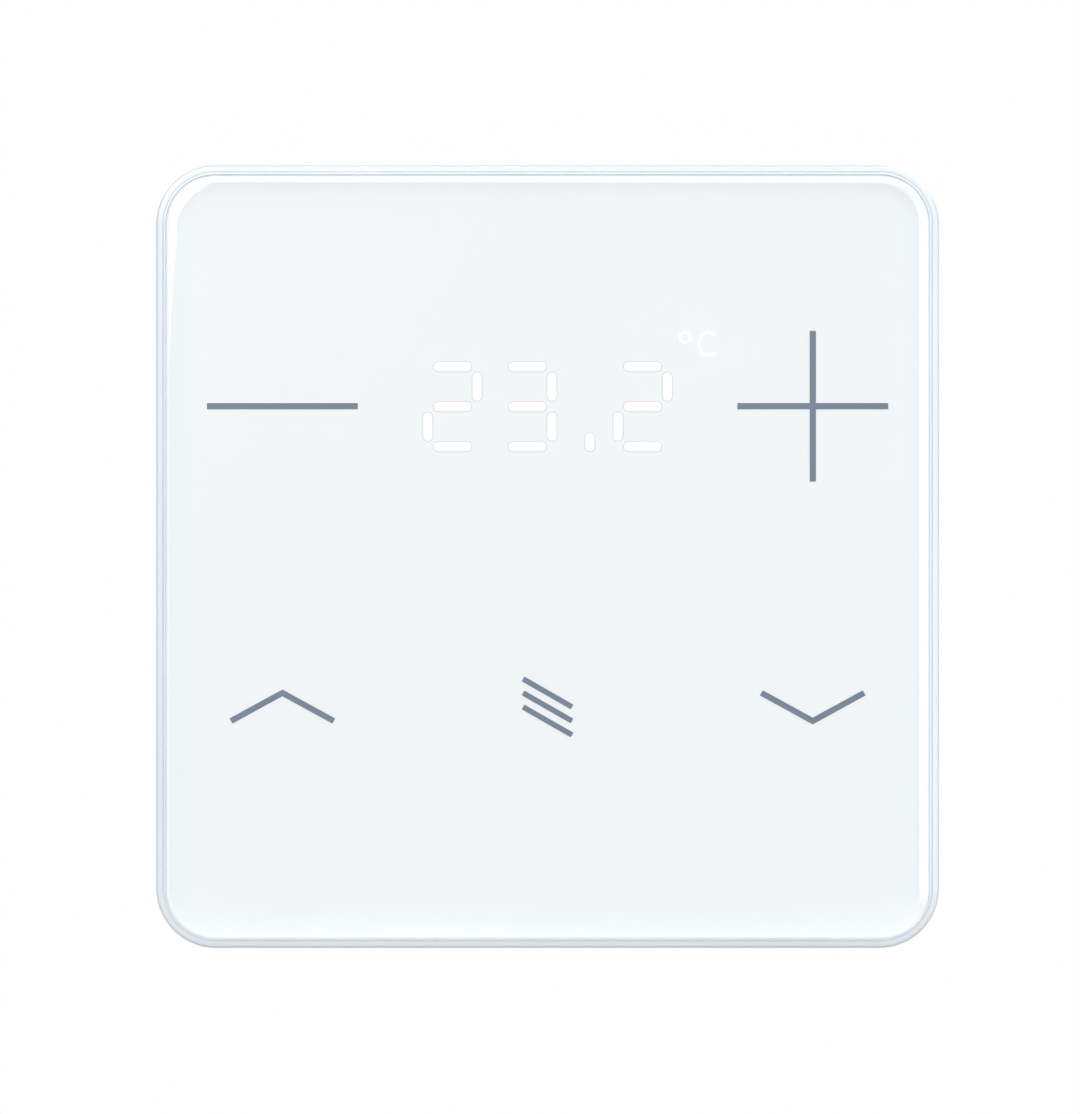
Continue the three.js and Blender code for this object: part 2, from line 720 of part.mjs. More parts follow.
function rearCover() {
  const flange = layer(
    roundedRect(cavityWidth - 2 * fitGap, cavityHeight - 2 * fitGap, cavityCornerRadius - fitGap),
    coverBackY,
    coverFrontY,
  );
  const shell = flange
    .add(insertBody(0, coverFrontY, insertDepth))
    .subtract(insertBody(insertWall, coverFrontY - overcut, insertRearWallY));
  const pocketFrontY = pocketFloorY - pocketWall;
  const pocketBox = block(
    2 * pocketOuterX,
    insertDepth - pocketFrontY,
    pocketTopZ - pocketBottomZ,
    0,
    (insertDepth + pocketFrontY) / 2,
    terminalZ,
  );
  const posts = [-postX, postX].map((x) =>
    rod(postRadius, mainBoardBackY + restGap, insertRearWallY + restGap, x, postZ),
  );
  const straps = [clipStrap(), clipStrap().mirror([0, 0, 1])];
  const braces = fourCorners(braceX, pillarZ).map(([x, z]) =>
    block(bracePad, componentRoom, bracePad, x, coverFrontY - componentRoom / 2 + restGap, z),
  );
  const tools = [
    block(
      terminalWidth + 2 * runGap,
      pocketDepth + overcut,
      terminalHeight + 2 * runGap,
      0,
      pocketFloorY + (pocketDepth + overcut) / 2,
      terminalZ,
    ),
  ];
  for (const x of [-terminalHalfX, terminalHalfX])
    tools.push(rod(pinRadius + fitGap, pocketFrontY - overcut, insertDepth, x, terminalZ, 16));
  for (const x of [-postX, postX])
    tools.push(rod(boardScrewRadius, mainBoardBackY, mainBoardBackY + boardScrewLength, x, postZ, 16));
  for (const [x, z] of [
    [screwCircleRadius, 0],
    [-screwCircleRadius, 0],
    [0, screwCircleRadius],
    [0, -screwCircleRadius],
  ])
    tools.push(rod(headHoleRadius, coverFrontY - overcut, coverBackY + overcut, x, z, 24));
  const seatY = coverBackY - coverScrewHeadHeight - fitGap;
  for (const [x, z] of fourCorners(pillarX, pillarZ)) {
    tools.push(rod(coverScrewRadius + fitGap, coverFrontY - overcut, coverBackY + overcut, x, z, 16));
    tools.push(rod(coverScrewHeadRadius + fitGap, seatY, coverBackY + overcut, x, z));
  }
  const lowerEdgeZ = -cavityHeight / 2;
  const switchNotch = 2 * (switchHeight + switchFaceZ - lowerEdgeZ + runGap);
  tools.push(
    block(switchWidth + 2 * runGap, 4 * coverThickness, switchNotch, buttonX, coverBackY, lowerEdgeZ),
  );
  const ledNotch = 2 * (ledBodyHeight + fitGap + runGap);
  tools.push(
    block(ledBodyWidth + 2 * runGap, 4 * coverThickness, ledNotch, ledX, coverBackY, lowerEdgeZ),
  );
  for (const side of [-1, 1])
    for (let i = 0; i < 3; i++)
      tools.push(
        block(
          ventSlotLength,
          4 * insertWall,
          ventSlotWidth,
          side * ventSlotLength * 0.75,
          insertDepth,
          pocketTopZ + ventSlotPitch * (i + 1),
        ),
      );
  const whole = joined([shell, pocketBox, ...posts, ...straps, ...braces]);
  return piece("rear_cover", cutBy(whole, tools), rearPlastic);
}

// A cover screw goes in from the rear, so its axis points to the room.
function coverScrew(name, x, z) {
  const made = screw(
    coverScrewRadius,
    coverScrewLength,
    coverScrewHeadRadius,
    coverScrewHeadHeight,
  ).rotate([180, 0, 0]);
  return piece(name, made, zincScrew, x, coverBackY - coverScrewHeadHeight - fitGap / 2, z);
}

// ---- Main board and what it carries ----
function mainBoard() {
  const tools = [-terminalHalfX, terminalHalfX].map((x) =>
    rod(pinRadius + fitGap / 2, -overcut, mainBoardThickness + overcut, x, terminalZ, 12),
  );
  for (const x of [-postX, postX])
    tools.push(rod(boardScrewRadius + fitGap, -overcut, mainBoardThickness + overcut, x, postZ, 12));
  const made = cutBy(insertBody(insertWall + fitGap, 0, mainBoardThickness), tools);
  return piece("main_board", made, greenBoard, 0, mainBoardFrontY, 0);
}

function boardScrew(name, x) {
  const made = screw(
    boardScrewRadius - restGap,
    boardScrewLength,
    boardScrewHeadRadius,
    boardScrewHeadHeight,
  );
  return piece(name, made, zincScrew, x, mainBoardFrontY - restGap, postZ);
}

function busPin(name, x) {
  const frontY = mainBoardFrontY - mainBoardThickness / 2;
  const length = terminalFrontY + pinReach - frontY;
  const made = turned(
    [
      [0, 0],
      [pinRadius, 0],
      [pinRadius, length - pinRadius],
      [pinRadius / 2, length],
      [0, length],
    ],
    12,
  );
  return piece(name, made, tinnedBrass, x, frontY, terminalZ);
}

function pinHolder() {
  const thickness = pocketFloorY - pocketWall - mainBoardBackY - 2 * restGap;
  const body = block(terminalWidth, thickness, terminalHeight / 2, 0, thickness / 2, 0);
  const tools = [-terminalHalfX, terminalHalfX].map((x) =>
    rod(pinRadius + fitGap / 2, -overcut, thickness + overcut, x, 0, 12),
  );
  return piece(
    "pin_holder",
    cutBy(body, tools),
    blackPlastic,
    0,
    mainBoardBackY + restGap,
    terminalZ,
  );
}

const capacitorRadius = 3.15;
const capacitorHeight = 5.8;
const chokeRadius = 2.9;
const chokeHeight = 3.8;
const besidePocketX = pocketOuterX + 2 * runGap;
const partsZ = 2;

function storageCapacitor() {
  const made = turned([
    [0, 0],
    [capacitorRadius, 0],
    [capacitorRadius, capacitorHeight * 0.92],
    [capacitorRadius * 0.94, capacitorHeight],
    [0, capacitorHeight],
  ]);
  const x = -besidePocketX - capacitorRadius;
  return piece("storage_capacitor", made, canAluminium, x, mainBoardBackY + restGap, partsZ);
}

function busChoke() {
  const waist = chokeRadius * 0.8;
  const lip = chokeHeight * 0.2;
  const made = turned([
    [0, 0],
    [chokeRadius, 0],
    [chokeRadius, lip],
    [waist, lip],
    [waist, chokeHeight - lip],
    [chokeRadius, chokeHeight - lip],
    [chokeRadius, chokeHeight],
    [0, chokeHeight],
  ]);
  const x = besidePocketX + chokeRadius;
  return piece("bus_choke", made, blackPlastic, x, mainBoardBackY + restGap, partsZ);
}

// ---- Spring clips ----
// A bent strip of sheet from its centre line, given as [y, z] points.
function bentStrip(line, thickness, width) {
  const points = line.map(([y, z]) => new THREE.Vector2(y, z));
  const side = (sign) =>
    points.map((point, i) => {
      const before = points[Math.max(i - 1, 0)];
      const after = points[Math.min(i + 1, points.length - 1)];
      const into = point.clone().sub(before);
      const out = after.clone().sub(point);
      const a = (into.lengthSq() ? into : out).clone().normalize();
      const b = (out.lengthSq() ? out : into).clone().normalize();
      const normal = new THREE.Vector2(-a.y - b.y, a.x + b.x).normalize();
      const mitre = thickness / 2 / Math.max(normal.dot(new THREE.Vector2(-a.y, a.x)), 0.4);
      return point.clone().addScaledVector(normal, sign * mitre);
    });
  const shape = new THREE.Shape([...side(1), ...side(-1).reverse()]);
  const geometry = new THREE.ExtrudeGeometry(shape, { depth: width, bevelEnabled: false });
  const axes = new THREE.Matrix4().makeBasis(
    new THREE.Vector3(0, 1, 0),
    new THREE.Vector3(0, 0, 1),
    new THREE.Vector3(1, 0, 0),
  );
  return solid(geometry.applyMatrix4(axes).translate(-width / 2, 0, 0));
}

const clipRootZ = insertFlatZ + fitGap + clipThickness / 2;
const clipPeakZ = clipEdgeZ + clipCatch - clipThickness / 2;
const clipTailY = strapRearY + fitGap + clipThickness / 2;

function springClip(name, sign) {
  const rootY = strapFrontY - fitGap - clipThickness;
  const line = [
    [clipTailY, clipRootZ + strapHollow],
    [clipTailY, clipRootZ],
    [rootY, clipRootZ],
    [clipPeakBehind, clipPeakZ],
    [clipTipBehind, clipPeakZ - (clipPeakBehind - clipTipBehind)],
  ];
  const made = bentStrip(line, clipThickness, clipWidth);
  return piece(name, sign > 0 ? made : made.mirror([0, 0, 1]), springSteel);
}

// ---- Bus terminal: two halves, each with a sleeve for its pin ----
function terminalBlock(name, side, finish) {
  const body = block(terminalHalfWidth, terminalLength, terminalHeight, 0, terminalLength / 2, 0);
  const tools = fourCorners(wireHoleSpacingX / 2, wireHoleSpacingZ / 2).map(([x, z]) =>
    rod(wireHoleRadius, terminalLength - wireHoleDepth, terminalLength + overcut, x, z, 12),
  );
  const bore = pinRadius + fitGap + sleeveWall + restGap * 2;
  tools.push(rod(bore, -overcut, pinReach + 2 * fitGap, 0, 0, 16));
  return piece(name, cutBy(body, tools), finish, side * terminalHalfX, terminalFrontY, terminalZ);
}

function contactSleeve(name, side) {
  const inner = pinRadius + fitGap / 2;
  const made = rod(inner + sleeveWall, 0, sleeveLength, 0, 0, 16).subtract(
    rod(inner, -overcut, sleeveLength + overcut, 0, 0, 16),
  );
  return piece(
    name,
    made,
    tinnedBrass,
    side * terminalHalfX,
    terminalFrontY + 2 * fitGap,
    terminalZ,
  );
}

// ---- Assembly ----
const wallSide = new THREE.Group();
wallSide.add(
  carrierPlate(),
  boxScrew("box_screw_left", -screwCircleRadius),
  boxScrew("box_screw_right", screwCircleRadius),
);

const frontStack = new THREE.Group();
frontStack.add(
  frontGlass(),
  printLayer(),
  glassTape(),
  bezelFrame(),
  segmentDiffuser(),
  lightMask(),
  touchPad("touch_pad_minus", largePadSize, -iconX, iconZ),
  touchPad("touch_pad_plus", largePadSize, iconX, iconZ),
  touchPad("touch_pad_up", smallPadSize, -iconX, -iconZ),
  touchPad("touch_pad_slats", smallPadSize, 0, -iconZ),
  touchPad("touch_pad_down", smallPadSize, iconX, -iconZ),
);

const sensorChipZ = sensorZ - (sensorBoardHeight - sensorChipSize) / 2 + fitGap;
const boards = new THREE.Group();
boards.add(
  touchBoard(),
  onRear("touch_controller", touchBoardBackY, 5, 0.9, 5, -12, -4, blackPlastic),
  onRear("led_driver", touchBoardBackY, 4, 0.9, 6, 12, -4, blackPlastic),
  sensorBoard(),
  onRear(
    "temperature_sensor",
    touchBoardBackY,
    sensorChipSize,
    sensorChipHeight,
    sensorChipSize,
    sensorX,
    sensorChipZ,
    blackPlastic,
  ),
  programmingSwitch(),
  programmingLed(),
  boardSocket(),
  mainBoard(),
  boardHeader(),
  onFront("main_controller", mainBoardFrontY, 7, 1.1, 7, -9, 3, blackPlastic),
  onFront("quartz_crystal", mainBoardFrontY, 3.2, 0.8, 2.5, -9, -4, canAluminium),
  onRear("bus_transceiver", mainBoardBackY, 6, 1.5, 5, 0, 6, blackPlastic),
  storageCapacitor(),
  busChoke(),
  boardScrew("board_screw_left", -postX),
  boardScrew("board_screw_right", postX),
  busPin("bus_pin_positive", -terminalHalfX),
  busPin("bus_pin_negative", terminalHalfX),
  pinHolder(),
);

const rear = new THREE.Group();
rear.add(rearCover());
fourCorners(pillarX, pillarZ).forEach(([x, z], i) => rear.add(coverScrew(`cover_screw_${i + 1}`, x, z)));

const movingParts = new THREE.Group();
movingParts.add(
  springClip("top_spring_clip", 1),
  springClip("bottom_spring_clip", -1),
  programmingButton(),
  terminalBlock("terminal_block_red", -1, redPlastic),
  terminalBlock("terminal_block_grey", 1, greyPlastic),
  contactSleeve("contact_sleeve_red", -1),
  contactSleeve("contact_sleeve_grey", 1),
);

const thermostat = new THREE.Group();
thermostat.add(wallSide, frontStack, boards, rear, movingParts);

export default thermostat;
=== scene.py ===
import math

import bmesh
import bpy
from mathutils import Matrix, Quaternion, Vector


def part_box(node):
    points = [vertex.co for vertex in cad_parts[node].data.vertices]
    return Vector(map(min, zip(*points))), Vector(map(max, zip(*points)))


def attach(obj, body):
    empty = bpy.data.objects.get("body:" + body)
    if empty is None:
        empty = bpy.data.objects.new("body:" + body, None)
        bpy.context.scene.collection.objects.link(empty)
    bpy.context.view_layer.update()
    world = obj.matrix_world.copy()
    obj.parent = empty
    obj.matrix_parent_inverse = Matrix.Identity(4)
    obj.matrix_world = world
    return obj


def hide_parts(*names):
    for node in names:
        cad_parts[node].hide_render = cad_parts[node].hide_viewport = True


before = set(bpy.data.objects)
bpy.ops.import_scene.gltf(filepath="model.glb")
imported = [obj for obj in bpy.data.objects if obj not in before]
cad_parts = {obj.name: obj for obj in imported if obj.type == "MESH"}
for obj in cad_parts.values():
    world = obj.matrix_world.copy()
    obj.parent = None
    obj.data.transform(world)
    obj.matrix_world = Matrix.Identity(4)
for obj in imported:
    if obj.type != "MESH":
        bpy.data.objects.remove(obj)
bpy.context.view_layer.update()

mm = 0.001
print("frame loaded")


# Shader and geometry sums, written as Python expressions

class Wire:
    def __init__(self, graph, node, socket):
        self.graph = graph
        self.node = node
        self.socket = socket

    def __getitem__(self, name):
        found = next(s for s in self.node.outputs if s.name == name and s.enabled)
        return Wire(self.graph, self.node, found)

    def maths(self, operation, *others):
        inputs = dict(enumerate((self, *others)))
        return self.graph.add("ShaderNodeMath", {"operation": operation}, inputs)

    def flipped(self, operation, other):
        return self.graph.add("ShaderNodeMath", {"operation": operation}, {0: other, 1: self})

    def __add__(self, other):
        return self.maths("ADD", other)

    def __radd__(self, other):
        return self.flipped("ADD", other)

    def __sub__(self, other):
        return self.maths("SUBTRACT", other)

    def __rsub__(self, other):
        return self.flipped("SUBTRACT", other)

    def __mul__(self, other):
        return self.maths("MULTIPLY", other)

    def __rmul__(self, other):
        return self.flipped("MULTIPLY", other)

    def between(self, low, high):
        # 0 below low, 1 above high, smooth in the middle
        settings = {"interpolation_type": "SMOOTHSTEP"}
        inputs = {"Value": self, "From Min": low, "From Max": high}
        return self.graph.add("ShaderNodeMapRange", settings, inputs)


class Graph:
    def __init__(self, tree):
        self.tree = tree

    def feed(self, socket, value):
        if isinstance(value, Wire):
            self.tree.links.new(value.socket, socket)
        elif isinstance(value, tuple) and len(value) == 3 and socket.type == "RGBA":
            socket.default_value = (*value, 1)
        else:
            socket.default_value = value

    def add(self, kind, settings=None, inputs=None):
        node = self.tree.nodes.new(kind)
        for key, value in (settings or {}).items():
            setattr(node, key, value)
        for key, value in (inputs or {}).items():
            if isinstance(key, int):
                socket = node.inputs[key]
            else:
                socket = next(s for s in node.inputs if s.name == key and s.enabled)
            self.feed(socket, value)
        shown = [s for s in node.outputs if s.enabled]
        return Wire(self, node, shown[0] if shown else None)

    def spot(self):
        return self.add("ShaderNodeTexCoord")["Object"]

    def noise(self, size, detail=3, roughness=0.5, stretch=None):
        where = self.spot()
        if stretch:
            where = self.add("ShaderNodeMapping", {}, {"Vector": where, "Scale": stretch})
        inputs = {"Vector": where, "Scale": 1 / size, "Detail": detail, "Roughness": roughness}
        return self.add("ShaderNodeTexNoise", {}, inputs)["Fac"]

    def blend(self, amount, first, second):
        inputs = {"Factor": amount, "A": first, "B": second}
        return self.add("ShaderNodeMix", {"data_type": "RGBA"}, inputs)["Result"]

    def bump(self, height, depth, strength=1.0, normal=None):
        inputs = {"Height": height, "Distance": depth, "Strength": strength}
        if normal:
            inputs["Normal"] = normal
        return self.add("ShaderNodeBump", {}, inputs)

    def roundEdges(self, radius):
        return self.add("ShaderNodeBevel", {"samples": 4}, {"Radius": radius})

    def nearOutline(self, width, height, corner, reach):
        # 1 on a rounded rectangle's outline, 0 from reach inwards
        place = self.add("ShaderNodeSeparateXYZ", {}, {"Vector": self.spot()})
        x = place["X"].maths("ABSOLUTE") - (width / 2 - corner)
        z = place["Z"].maths("ABSOLUTE") - (height / 2 - corner)
        outX, outZ = x.maths("MAXIMUM", 0), z.maths("MAXIMUM", 0)
        rounded = (outX * outX + outZ * outZ).maths("SQRT")
        inside = x.maths("MAXIMUM", z).maths("MINIMUM", 0)
        return (rounded + inside - corner).between(-reach, 0)

    def edgeWear(self, radius):
        # 1 on convex and concave edges, 0 on flat places
        inputs = {0: self.roundEdges(radius), 1: self.add("ShaderNodeNewGeometry")["Normal"]}
        match = self.add("ShaderNodeVectorMath", {"operation": "DOT_PRODUCT"}, inputs)["Value"]
        return (1 - match).between(0.0, 0.25)


def finishOf(name, build):
    material = bpy.data.materials.new(name)
    material.use_nodes = True
    material.node_tree.nodes.clear()
    graph = Graph(material.node_tree)
    graph.add("ShaderNodeOutputMaterial", {}, {"Surface": build(graph)})
    return material


def surface(graph, **inputs):
    names = {"color": "Base Color", "roughness": "Roughness", "metallic": "Metallic",
             "normal": "Normal", "coat": "Coat Weight", "ior": "IOR",
             "clear": "Transmission Weight", "glow": "Emission Strength",
             "glowColor": "Emission Color"}
    given = {names[key]: value for key, value in inputs.items()}
    return graph.add("ShaderNodeBsdfPrincipled", {}, given)


# Finishes

def moulding(look):
    # A moulded plastic: cloudy colour, fine spark-eroded texture, edges rubbed a little brighter
    def build(graph):
        cloud = graph.noise(look["cloudSize"], 2)
        grain = graph.noise(look["grainSize"], 4, 0.6)
        edge = graph.edgeWear(look["edgeSize"])
        color = graph.blend(cloud.between(0.3, 0.7), look["color"], look["tint"])
        color = graph.blend(edge * 0.35, color, look["edgeColor"])
        roughness = look["roughness"] + (grain - 0.5) * 0.12 - edge * 0.08
        normal = graph.bump(grain, look["grainDepth"], 0.6, graph.roundEdges(look["edgeSize"]))
        return surface(graph, color=color, roughness=roughness, normal=normal)
    return build


terminalGrain = {"cloudSize": 4 * mm, "grainSize": 0.2 * mm, "grainDepth": 0.006 * mm,
                 "edgeSize": 0.1 * mm}
mouldings = {
    "rimPlastic": {"color": (0.79, 0.845, 0.89), "tint": (0.76, 0.82, 0.87),
                   "edgeColor": (0.86, 0.9, 0.93), "roughness": 0.34, "cloudSize": 18 * mm,
                   "grainSize": 0.12 * mm, "grainDepth": 0.004 * mm, "edgeSize": 0.06 * mm},
    "rearPlastic": {"color": (0.60, 0.625, 0.64), "tint": (0.555, 0.58, 0.6),
                    "edgeColor": (0.72, 0.74, 0.75), "roughness": 0.52, "cloudSize": 14 * mm,
                    "grainSize": 0.16 * mm, "grainDepth": 0.02 * mm, "edgeSize": 0.12 * mm},
    "redPlastic": {"color": (0.52, 0.012, 0.014), "tint": (0.44, 0.008, 0.01),
                   "edgeColor": (0.64, 0.06, 0.05), "roughness": 0.32, **terminalGrain},
    "greyPlastic": {"color": (0.04, 0.043, 0.048), "tint": (0.03, 0.032, 0.036),
                    "edgeColor": (0.09, 0.095, 0.1), "roughness": 0.34, **terminalGrain},
    "blackPlastic": {"color": (0.016, 0.016, 0.018), "tint": (0.026, 0.026, 0.028),
                     "edgeColor": (0.06, 0.06, 0.06), "roughness": 0.5, "cloudSize": 3 * mm,
                     "grainSize": 0.1 * mm, "grainDepth": 0.01 * mm, "edgeSize": 0.05 * mm},
    "maskPlastic": {"color": (0.82, 0.83, 0.84), "tint": (0.78, 0.79, 0.8),
                    "edgeColor": (0.88, 0.88, 0.88), "roughness": 0.45, "cloudSize": 6 * mm,
                    "grainSize": 0.15 * mm, "grainDepth": 0.01 * mm, "edgeSize": 0.05 * mm},
}

glassLow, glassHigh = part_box("front_glass")
printLook = {
    "inset": 0.15 * mm, "corner": 4.9 * mm, "cloudSize": 22 * mm, "speckSize": 0.25 * mm,
    "color": (0.884, 0.912, 0.92), "tint": (0.894, 0.92, 0.928), "speck": (0.8, 0.85, 0.88),
    # The glow colour and its reach paint a faint light along the print's edge
    "speckDepth": 0.002 * mm, "roughness": 0.45, "glow": (0.055, 0.055, 0.056),
    "glowReach": 1.3 * mm, "bond": 0.08 * mm, "inkRise": 0.035 * mm, "inkGap": 0.004 * mm,
}
printWidth, printHeight = (glassHigh - glassLow).xz - Vector((2, 2)) * printLook["inset"]


def backPrint(graph):
    # White ceramic ink under the glass, with a faint cloudiness and orange peel
    look = printLook
    cloud = graph.noise(look["cloudSize"], 3)
    speck = graph.noise(look["speckSize"], 2)
    color = graph.blend(cloud.between(0.35, 0.65), look["color"], look["tint"])
    color = graph.blend(speck * 0.05, color, look["speck"])
    normal = graph.bump(speck, look["speckDepth"], 0.3)
    # Painted light: the ink glows faintly along the edge, standing in for light that the frame's
    # lip shades off
    lit = graph.nearOutline(printWidth, printHeight, look["corner"], look["glowReach"])
    glow = graph.blend(lit, (0, 0, 0), look["glow"])
    return surface(graph, color=color, roughness=look["roughness"] + speck * 0.05,
                   normal=normal, glowColor=glow, glow=1.0)


def clearGlass(graph):
    # Light goes straight through to the print and back, so only what is seen is bent
    smear = graph.noise(9 * mm, 3, 0.6)
    glass = surface(graph, color=(0.99, 0.99, 0.992), roughness=0.012 + smear * 0.01,
                    clear=1.0, ior=1.5)
    passing = graph.add("ShaderNodeBsdfTransparent", {}, {"Color": (0.975, 0.978, 0.98)})
    ray = graph.add("ShaderNodeLightPath")
    seen = graph.add("ShaderNodeMixShader", {}, {0: ray["Is Diffuse Ray"], 1: glass, 2: passing})
    return graph.add("ShaderNodeMixShader", {}, {0: ray["Is Shadow Ray"], 1: seen, 2: passing})


def litSegment(graph):
    cloud = graph.noise(0.8 * mm, 2)
    color = graph.blend(cloud, (1.0, 1.0, 1.0), (0.96, 0.98, 1.0))
    return surface(graph, color=(0.9, 0.92, 0.93), glowColor=color, glow=0.24,
                   roughness=0.4 + cloud * 0.1)


zincLook = {
    "cellSize": 2.6 * mm, "dark": (0.46, 0.48, 0.5), "light": (0.62, 0.64, 0.66),
    "bloomSize": 7 * mm, "bloom": (0.66, 0.67, 0.68), "scratchSize": 0.3 * mm,
    "along": (0.06, 1.0, 1.0), "edgeSize": 0.08 * mm, "edgeColor": (0.78, 0.78, 0.78),
    "roughness": 0.3, "grainDepth": 0.006 * mm, "rounding": 0.1 * mm,
}


def galvanised(graph):
    # Zinc spangle: crystal cells of differing brightness, with fine scratches and white bloom
    look = zincLook
    inputs = {"Vector": graph.spot(), "Scale": 1 / look["cellSize"]}
    cells = graph.add("ShaderNodeTexVoronoi", {"feature": "F1"}, inputs)
    shade = graph.add("ShaderNodeSeparateColor", {}, {"Color": cells["Color"]})
    scratch = graph.noise(look["scratchSize"], 4, 0.7, look["along"])
    bloom = graph.noise(look["bloomSize"], 5, 0.65).between(0.52, 0.75)
    color = graph.blend(shade["Red"], look["dark"], look["light"])
    color = graph.blend(bloom * 0.5, color, look["bloom"])
    color = graph.blend(graph.edgeWear(look["edgeSize"]) * 0.5, color, look["edgeColor"])
    roughness = (look["roughness"] + shade["Green"] * 0.16 + bloom * 0.2
                 + (scratch - 0.5) * 0.15)
    normal = graph.bump(scratch + shade["Blue"] * 0.6, look["grainDepth"], 0.5,
                        graph.roundEdges(look["rounding"]))
    return surface(graph, color=color, metallic=1 - bloom * 0.25, roughness=roughness,
                   normal=normal)


def brushedMetal(look):
    # The brush marks are drawn out along one axis
    def build(graph):
        brush = graph.noise(0.12 * mm, 5, 0.7, look["along"])
        cloud = graph.noise(4 * mm, 3)
        color = graph.blend(cloud * 0.6 + brush * 0.4, look["dark"], look["light"])
        roughness = look["roughness"] + (brush - 0.5) * 0.2 + (cloud - 0.5) * 0.08
        normal = graph.bump(brush, 0.003 * mm, 0.5, graph.roundEdges(0.06 * mm))
        return surface(graph, color=color, metallic=1.0, roughness=roughness, normal=normal)
    return build


metals = {
    "springSteel": {"light": (0.5, 0.51, 0.52), "dark": (0.32, 0.33, 0.35),
                    "along": (1.0, 0.08, 0.08), "roughness": 0.38},
    "zincScrew": {"light": (0.58, 0.59, 0.61), "dark": (0.36, 0.38, 0.42),
                  "along": (0.4, 0.4, 0.4), "roughness": 0.34},
    "tinnedBrass": {"light": (0.78, 0.72, 0.56), "dark": (0.6, 0.54, 0.4),
                    "along": (1.0, 0.15, 1.0), "roughness": 0.3},
    "crystalCan": {"light": (0.74, 0.74, 0.75), "dark": (0.56, 0.57, 0.58),
                   "along": (0.2, 1.0, 1.0), "roughness": 0.3},
}


def solderMask(look):
    # Tracks show as raised lines of a lighter shade under the mask
    def build(graph):
        settings = {"feature": "F1", "distance": "MANHATTAN"}
        inputs = {"Vector": graph.spot(), "Scale": 1 / look["pitch"], "Randomness": 0.85}
        cells = graph.add("ShaderNodeTexVoronoi", settings, inputs)
        ring = (cells["Distance"] * look["tracks"]).maths("FRACT")
        track = ring.between(0.55, 0.62) * (1 - ring.between(0.8, 0.88))
        cloud = graph.noise(6 * mm, 3)
        color = graph.blend(cloud * 0.3, look["mask"], tuple(c * 0.8 for c in look["mask"]))
        color = graph.blend(track * 0.8, color, look["trace"])
        normal = graph.bump(track, 0.03 * mm, 0.7)
        return surface(graph, color=color, roughness=0.32 + cloud * 0.12, normal=normal,
                       coat=0.25 + track * 0.2)
    return build


masks = {
    "greenMask": {"mask": (0.012, 0.10, 0.035), "trace": (0.03, 0.2, 0.07), "pitch": 5 * mm,
                  "tracks": 9},
    "whiteMask": {"mask": (0.76, 0.77, 0.75), "trace": (0.84, 0.84, 0.81), "pitch": 7 * mm,
                  "tracks": 9},
}


def mottled(look):
    # Ink, foam or film: two shades mixed by one noise, which also gives the pores their depth
    def build(graph):
        grain = graph.noise(look["size"], look["detail"], look.get("harshness", 0.5))
        amount = grain.between(*look["contrast"]) if "contrast" in look else grain
        inputs = {"color": graph.blend(amount, look["dark"], look["light"])}
        if "depth" in look:
            inputs["normal"] = graph.bump(grain, look["depth"])
        return surface(graph, roughness=look["roughness"] + grain * look["spread"], **inputs)
    return build


mottles = {
    "iconInk": {"dark": (0.11, 0.15, 0.225), "light": (0.128, 0.168, 0.245),
                "size": 2.5 * mm, "detail": 3, "roughness": 0.45, "spread": 0.1},
    "segmentHalo": {"dark": (0.72, 0.715, 0.735), "light": (0.75, 0.745, 0.765),
                    "size": 0.8 * mm, "detail": 2, "roughness": 0.5, "spread": 0.05},
    "conductiveFoam": {"dark": (0.02, 0.021, 0.023), "light": (0.07, 0.072, 0.076),
                       "size": 0.35 * mm, "detail": 5, "harshness": 0.75,
                       "contrast": (0.35, 0.65), "roughness": 0.85, "spread": 0.1,
                       "depth": 0.15 * mm},
    "foamTape": {"dark": (0.82, 0.82, 0.78), "light": (0.9, 0.9, 0.87), "size": 0.2 * mm,
                 "detail": 4, "harshness": 0.7, "roughness": 0.8, "spread": 0.0,
                 "depth": 0.05 * mm},
    "frostedSheet": {"dark": (0.84, 0.87, 0.89), "light": (0.92, 0.94, 0.95),
                     "size": 0.1 * mm, "detail": 4, "harshness": 0.6, "roughness": 0.6,
                     "spread": 0.2, "depth": 0.01 * mm},
}


def redLens(graph):
    swirl = graph.noise(0.6 * mm, 3)
    color = graph.blend(swirl, (0.62, 0.02, 0.015), (0.74, 0.05, 0.035))
    return surface(graph, color=color, roughness=0.1 + swirl * 0.08, coat=0.6 + swirl * 0.2)


def capacitorSleeve(graph):
    # An aluminium can with a dark printed sector along one side
    swirl = graph.noise(0.5 * mm, 4, 0.6)
    low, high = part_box("storage_capacitor")
    x = graph.add("ShaderNodeSeparateXYZ", {}, {"Vector": graph.spot()})["X"]
    band = (x - (low + high).x / 2).between(1.4 * mm, 1.6 * mm)
    color = graph.blend(swirl, (0.56, 0.57, 0.58), (0.7, 0.71, 0.72))
    color = graph.blend(band, color, (0.05, 0.05, 0.055))
    return surface(graph, color=color, metallic=1 - band, roughness=0.3 + swirl * 0.15)


builders = {build.__name__: build for build in (
    backPrint, clearGlass, litSegment, galvanised, redLens, capacitorSleeve)}
for kind, looks in ((moulding, mouldings), (brushedMetal, metals), (solderMask, masks),
                    (mottled, mottles)):
    builders.update({name: kind(look) for name, look in looks.items()})
finishes = {name: finishOf(name, build) for name, build in builders.items()}
print("finishes ready:", len(finishes))


# Pieces

def placed(name, data):
    holder = bpy.data.objects.new(name, data)
    bpy.context.scene.collection.objects.link(holder)
    return holder


def paint(mesh, finish):
    mesh.materials.clear()
    mesh.materials.append(finishes[finish])


def settle(name, mesh, finish, body, replaced=()):
    # A finished piece, with the body it rides on and the CAD nodes it stands for
    piece = placed(name, mesh)
    paint(mesh, finish)
    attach(piece, body)
    if replaced:
        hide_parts(*replaced)


